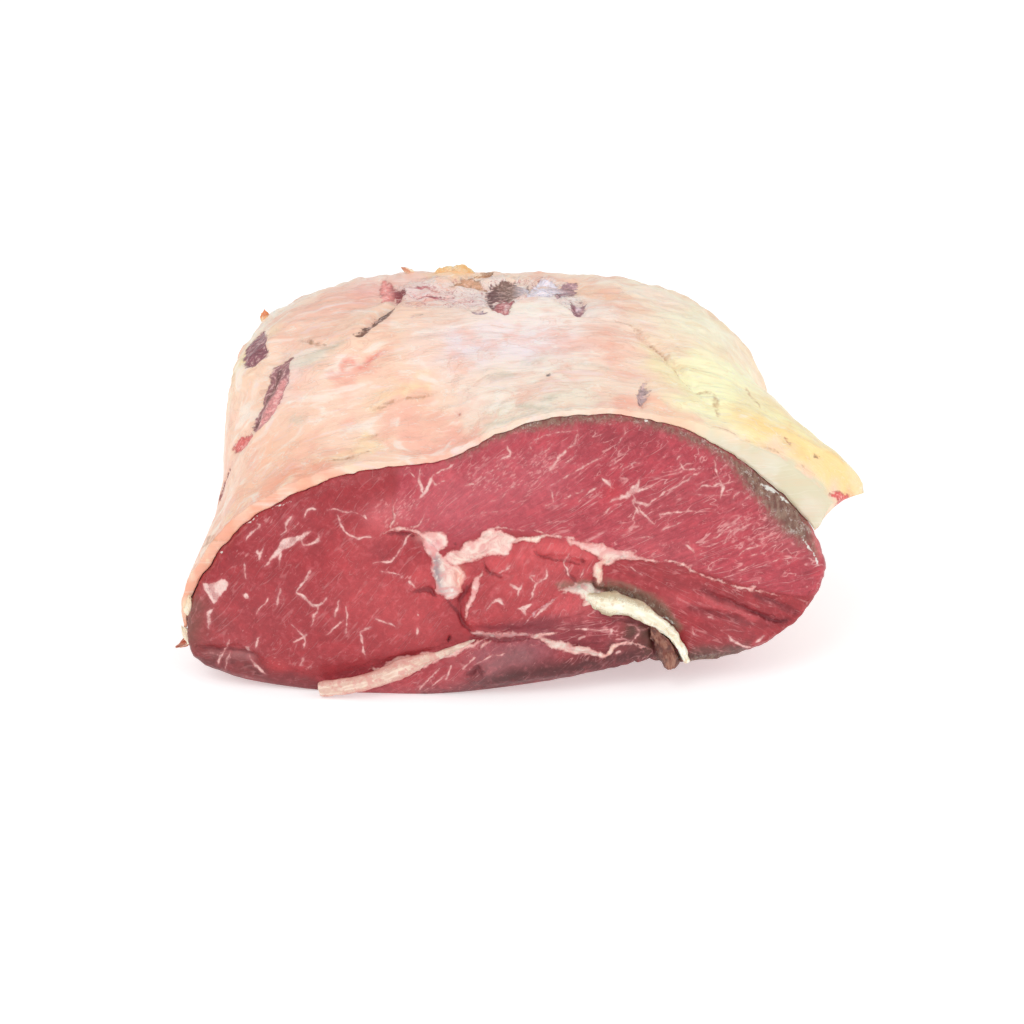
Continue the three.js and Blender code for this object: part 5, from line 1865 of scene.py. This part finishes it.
        keep(piece, "grey", cover(spots, GREY_SKIN) - clear)


# Small pieces on the cut


@dataclass
class CutStrip:
    """A small piece that lies on the cut: its solid, its line along the cut, its form and its finish."""

    node: str
    name: str
    slot: str
    line: Path
    half: float
    finish: StrandFinish
    roughness: float = 0.35
    lobes: float = 0.5  # how far its outline wanders on the cut, mm
    folds: float = 0.4  # depth of the folds along it, mm
    tip: float = 0.0  # share of its length over which it rounds off
    seed: int = 5

    def build(self) -> Piece:
        """Makes the piece.

        Returns:
            The finished piece.
        """
        piece = copy_of(self.node, self.name)
        divide(piece, "FACE", np.ones(len(piece.data.polygons), bool), 4)
        relax(piece, np.ones(len(piece.data.vertices), bool), 6)
        places = places_of(piece)
        normals = normals_of(piece)
        spots = places[:, [0, 2]]
        line = eased(self.line)
        gap, along = off_path(spots, line)
        steps = np.linalg.norm(np.diff(line, axis=0), axis=1)
        starts = np.concatenate([[0], np.cumsum(steps)]) / steps.sum()
        middle = np.column_stack([np.interp(along, starts, line[:, i]) for i in range(2)])
        lumps = Unevenness(self.seed)
        run = np.column_stack([along * steps.sum(), gap, places[:, 1]])
        lift = self.roughness * lumps.at(places, 3.0, 3)
        lift += 0.3 * self.roughness * lumps.at(run * (0.3, 1, 1), 1.2, 2)
        lift -= self.folds * np.maximum(lumps.at(run * (0.22, 1, 0.4) + 50, 2.6, 2), 0)
        places = places + normals * lift[:, None]
        stray = lumps.at(run * (1, 0.1, 0.1), 10, 1) + 0.3 * lumps.at(places + 80, 4.6, 3)
        wide = 1.06 + self.lobes / self.half * stray
        if self.tip:
            near_end = np.clip((along - 1 + self.tip) / self.tip, 0, 1)
            wide *= np.sqrt(np.maximum(1 - 0.8 * near_end**3, 0.05))
        places[:, [0, 2]] = middle + (places[:, [0, 2]] - middle) * wide[:, None]
        places[:, 2] = np.maximum(places[:, 2], FLOOR_Z)
        put(piece, places)
        keep(piece, "grain", run)
        keep(piece, "edge", np.clip(gap / self.half, 0, 1.5))
        finish_piece(piece, self.finish.material(), [self.node])
        return piece


STRIPS = (
    CutStrip(
        "seam_fat", "seam_strand", "seam_fat",
        ((35, 44.5), (43, 42.5), (50, 41), (57, 38.5), (63, 35), (68, 31.5), (73, 27), (77, 21.5), (81, 12)),
        4.4,
        StrandFinish(
            "cream_fat", (248, 240, 212), (255, 255, 240), (180, 158, 124), (230, 208, 174), 0.3, 0.34
        ),
        roughness=0.8, lobes=2.6, folds=2,
    ),
    CutStrip(
        "dried_tip", "dried_nub", "dried_meat",
        ((62, 31), (66, 27.5), (70, 22.5), (72.5, 16.5), (73, 9)),
        5,
        StrandFinish("dried_meat", (122, 64, 50), (166, 116, 96), (88, 42, 38), (96, 52, 44), 0.4, 0.24),
        roughness=0.9, lobes=1.2, folds=0.8, tip=0.35, seed=8,
    ),
    CutStrip(
        "sinew_strip", "sinew_ribbon", "sinew",
        ((-13, 25), (-24, 22), (-34, 18.8), (-42, 16.2), (-50, 13.6), (-58, 10), (-68, 6.6), (-78, 3.8),
         (-89, 1.8)),
        4.4,
        StrandFinish("sinew", (226, 190, 172), (245, 222, 204), (208, 138, 128), (224, 160, 150), 0.4, 0.36),
        roughness=0.5, lobes=0.6, folds=0.5, seed=9,
    ),
)


# Scraps on the outer fat


@dataclass
class Scrap:
    """A small loose tag of fat that stands off the joint: where it grows, which way and how big."""

    name: str
    spot: Point
    way: Triple
    length: float
    width: float
    colour: Colour
    tip: Colour
    thick: float = 1.4
    seed: int = 1

    def build(self, carrier: Piece) -> Piece:
        """Makes the tag.

        Args:
            carrier: the piece that it grows on.

        Returns:
            The finished tag.
        """
        places = places_of(carrier)
        skin = OuterFat.unrolled(places)
        root = places[np.argmin(np.sum((skin - self.spot) ** 2, axis=1))]
        way = np.array(self.way) / np.linalg.norm(self.way)
        aside = np.cross(way, (0, -1, 0.2))
        aside /= np.linalg.norm(aside)
        out = np.cross(aside, way)
        bpy.ops.object.select_all(action="DESELECT")
        bpy.ops.mesh.primitive_uv_sphere_add(segments=32, ring_count=24, radius=1.0, location=(0, 0, 0))
        piece = bpy.context.active_object
        piece.name = self.name
        ball = rows_of(piece.data.vertices, "co")
        along = (ball[:, 2] + 1) / 2
        lumps = Unevenness(self.seed)
        slim = 1 - 0.55 * along
        half = self.width / 2 * slim * (1 + 0.6 * lumps.at(ball * 10, 6, 3))
        bend = self.length * 0.3 * along**2 * lumps.height[3]
        ragged = 1 + 0.4 * lumps.at(ball * (6, 6, 2), 3, 3)
        mesh = root + np.outer(along * self.length * ragged - 2.0, way)
        mesh += np.outer(ball[:, 0] * half + bend, aside)
        mesh += np.outer(ball[:, 1] * self.thick * slim + 0.5 * bend, out)
        put(piece, mesh)
        keep(piece, "grain", np.column_stack([along * self.length, ball[:, 0] * half, ball[:, 1]]))
        keep(piece, "edge", along)
        name = self.name + "_fat"
        finish = StrandFinish(name, self.colour, (255, 240, 214), self.tip, self.colour, 0.3, 0.35)
        finish_piece(piece, finish.material(), [])
        return piece


SCRAPS = (
    Scrap("orange_tag", (-101, 136), (-0.3, -0.1, 1), 5.4, 6.0, (250, 186, 120), (230, 124, 76), seed=4),
    Scrap("gold_flap_left", (-29, 140), (-0.4, -0.3, 1), 5, 14, (255, 234, 196), (251, 202, 136), seed=5),
    Scrap("gold_flap_right", (-20, 139), (0.3, -0.3, 1), 5.6, 12, (255, 234, 194), (250, 198, 130), seed=6),
    Scrap("brown_flap", (-12, 134), (1, -0.2, 0.2), 9.0, 4.0, (206, 158, 124), (160, 108, 82), 1.0, 7),
    Scrap("pale_flap", (-44, 142), (-0.9, -0.2, 0.4), 7.0, 3.6, (236, 176, 140), (214, 132, 100), 1.0, 11),
)
LOW_SCRAPS = (
    Scrap("red_tag", (-187, 27), (-1, -0.9, -0.1), 12.0, 4.6, (212, 118, 88), (190, 74, 52), seed=10),
    Scrap("cream_edge_high", (-176, 19), (0.15, -0.1, 1), 11, 5, (253, 232, 204), (250, 214, 178), 2, 3),
    Scrap("cream_edge_low", (-185, 19), (-0.1, -0.1, 1), 10, 5, (253, 238, 214), (248, 224, 194), 2, 12),
)


# Studio


@dataclass
class Studio:
    """A pale floor, soft light and the camera at the photograph's angle."""

    aim: Triple = (-0.006241, -0.094493, 0.09543)
    distance: float = 1.1
    elevation: float = 26.0
    lens: float = 86.903
    floor_size: float = 14.0
    sky: float = 0.7
    glow: float = 0.42  # keeps the floor near white round the joint's soft shadow

    def build(self) -> None:
        """Sets up floor, light and camera."""
        self.floor()
        self.sky_light()
        self.lamp("key", (-0.9, -1.3, 2.0), 1.3, 13.0)
        self.lamp("fill", (1.6, -1.0, 1.2), 1.4, 9.0)
        self.camera()

    def floor(self) -> None:
        """Lays the floor just under the joint."""
        bpy.ops.mesh.primitive_plane_add(size=self.floor_size, location=(0, 0, -0.3 * MM))
        floor = bpy.context.active_object
        floor.name = "floor"
        r = Recipe("pale_floor")
        grey = r.blend(r.noise(r.place(), 60, 3).step(0.3, 0.7) * 0.3, (236, 236, 236), (232, 232, 232))
        inputs = {"Base Color": grey, "Roughness": 0.8, "Specular IOR Level": 0.1}
        inputs |= {"Emission Color": (1, 1, 1, 1), "Emission Strength": self.glow}
        shader = r.node("ShaderNodeBsdfPrincipled", {}, inputs)
        r.node("ShaderNodeOutputMaterial", {}, {"Surface": Wire(r, shader.outputs[0])})
        floor.data.materials.append(r.material)

    def sky_light(self) -> None:
        """Surrounds the scene with plain white light."""
        world = bpy.data.worlds.new("studio")
        world.use_nodes = True
        ground = world.node_tree.nodes["Background"]
        ground.inputs["Color"].default_value = (1, 1, 1, 1)
        ground.inputs["Strength"].default_value = self.sky
        bpy.context.scene.world = world

    def lamp(self, name: str, place: Triple, size: float, power: float) -> None:
        """Hangs one soft square lamp that looks at the joint.

        Args:
            name: the lamp's name.
            place: where it hangs, in metres.
            size: its side in metres.
            power: its power in watts.
        """
        data = bpy.data.lights.new(name, "AREA")
        data.size = size
        data.energy = power
        lamp = bpy.data.objects.new(name, data)
        bpy.context.scene.collection.objects.link(lamp)
        lamp.location = place
        way = np.array(self.aim) - np.array(place)
        lamp.rotation_euler = (
            math.atan2(math.hypot(way[0], way[1]), -way[2]), 0.0, math.atan2(-way[0], way[1])
        )

    def camera(self) -> None:
        """Stands the camera in front of the joint."""
        data = bpy.data.cameras.new("camera")
        data.lens = self.lens
        data.clip_start = 0.01
        camera = bpy.data.objects.new("camera", data)
        bpy.context.scene.collection.objects.link(camera)
        tilt = math.radians(self.elevation)
        x, y, z = self.aim
        camera.location = (x, y - self.distance * math.cos(tilt), z + self.distance * math.sin(tilt))
        camera.rotation_euler = (math.pi / 2 - tilt, 0, 0)
        bpy.context.scene.camera = camera
        bpy.context.scene.view_settings.view_transform = "Standard"


def main() -> None:
    """Builds every piece in order and reports it."""
    logging.basicConfig(level=logging.INFO, format="%(name)s: %(message)s")
    Studio().build()
    muscle = CutMuscle().build()
    fat = OuterFat().build()
    for strip in STRIPS:
        strip.build()
    for scrap in SCRAPS:
        scrap.build(fat)
    for scrap in LOW_SCRAPS:
        scrap.build(muscle)


if __name__ == "__main__":
    main()
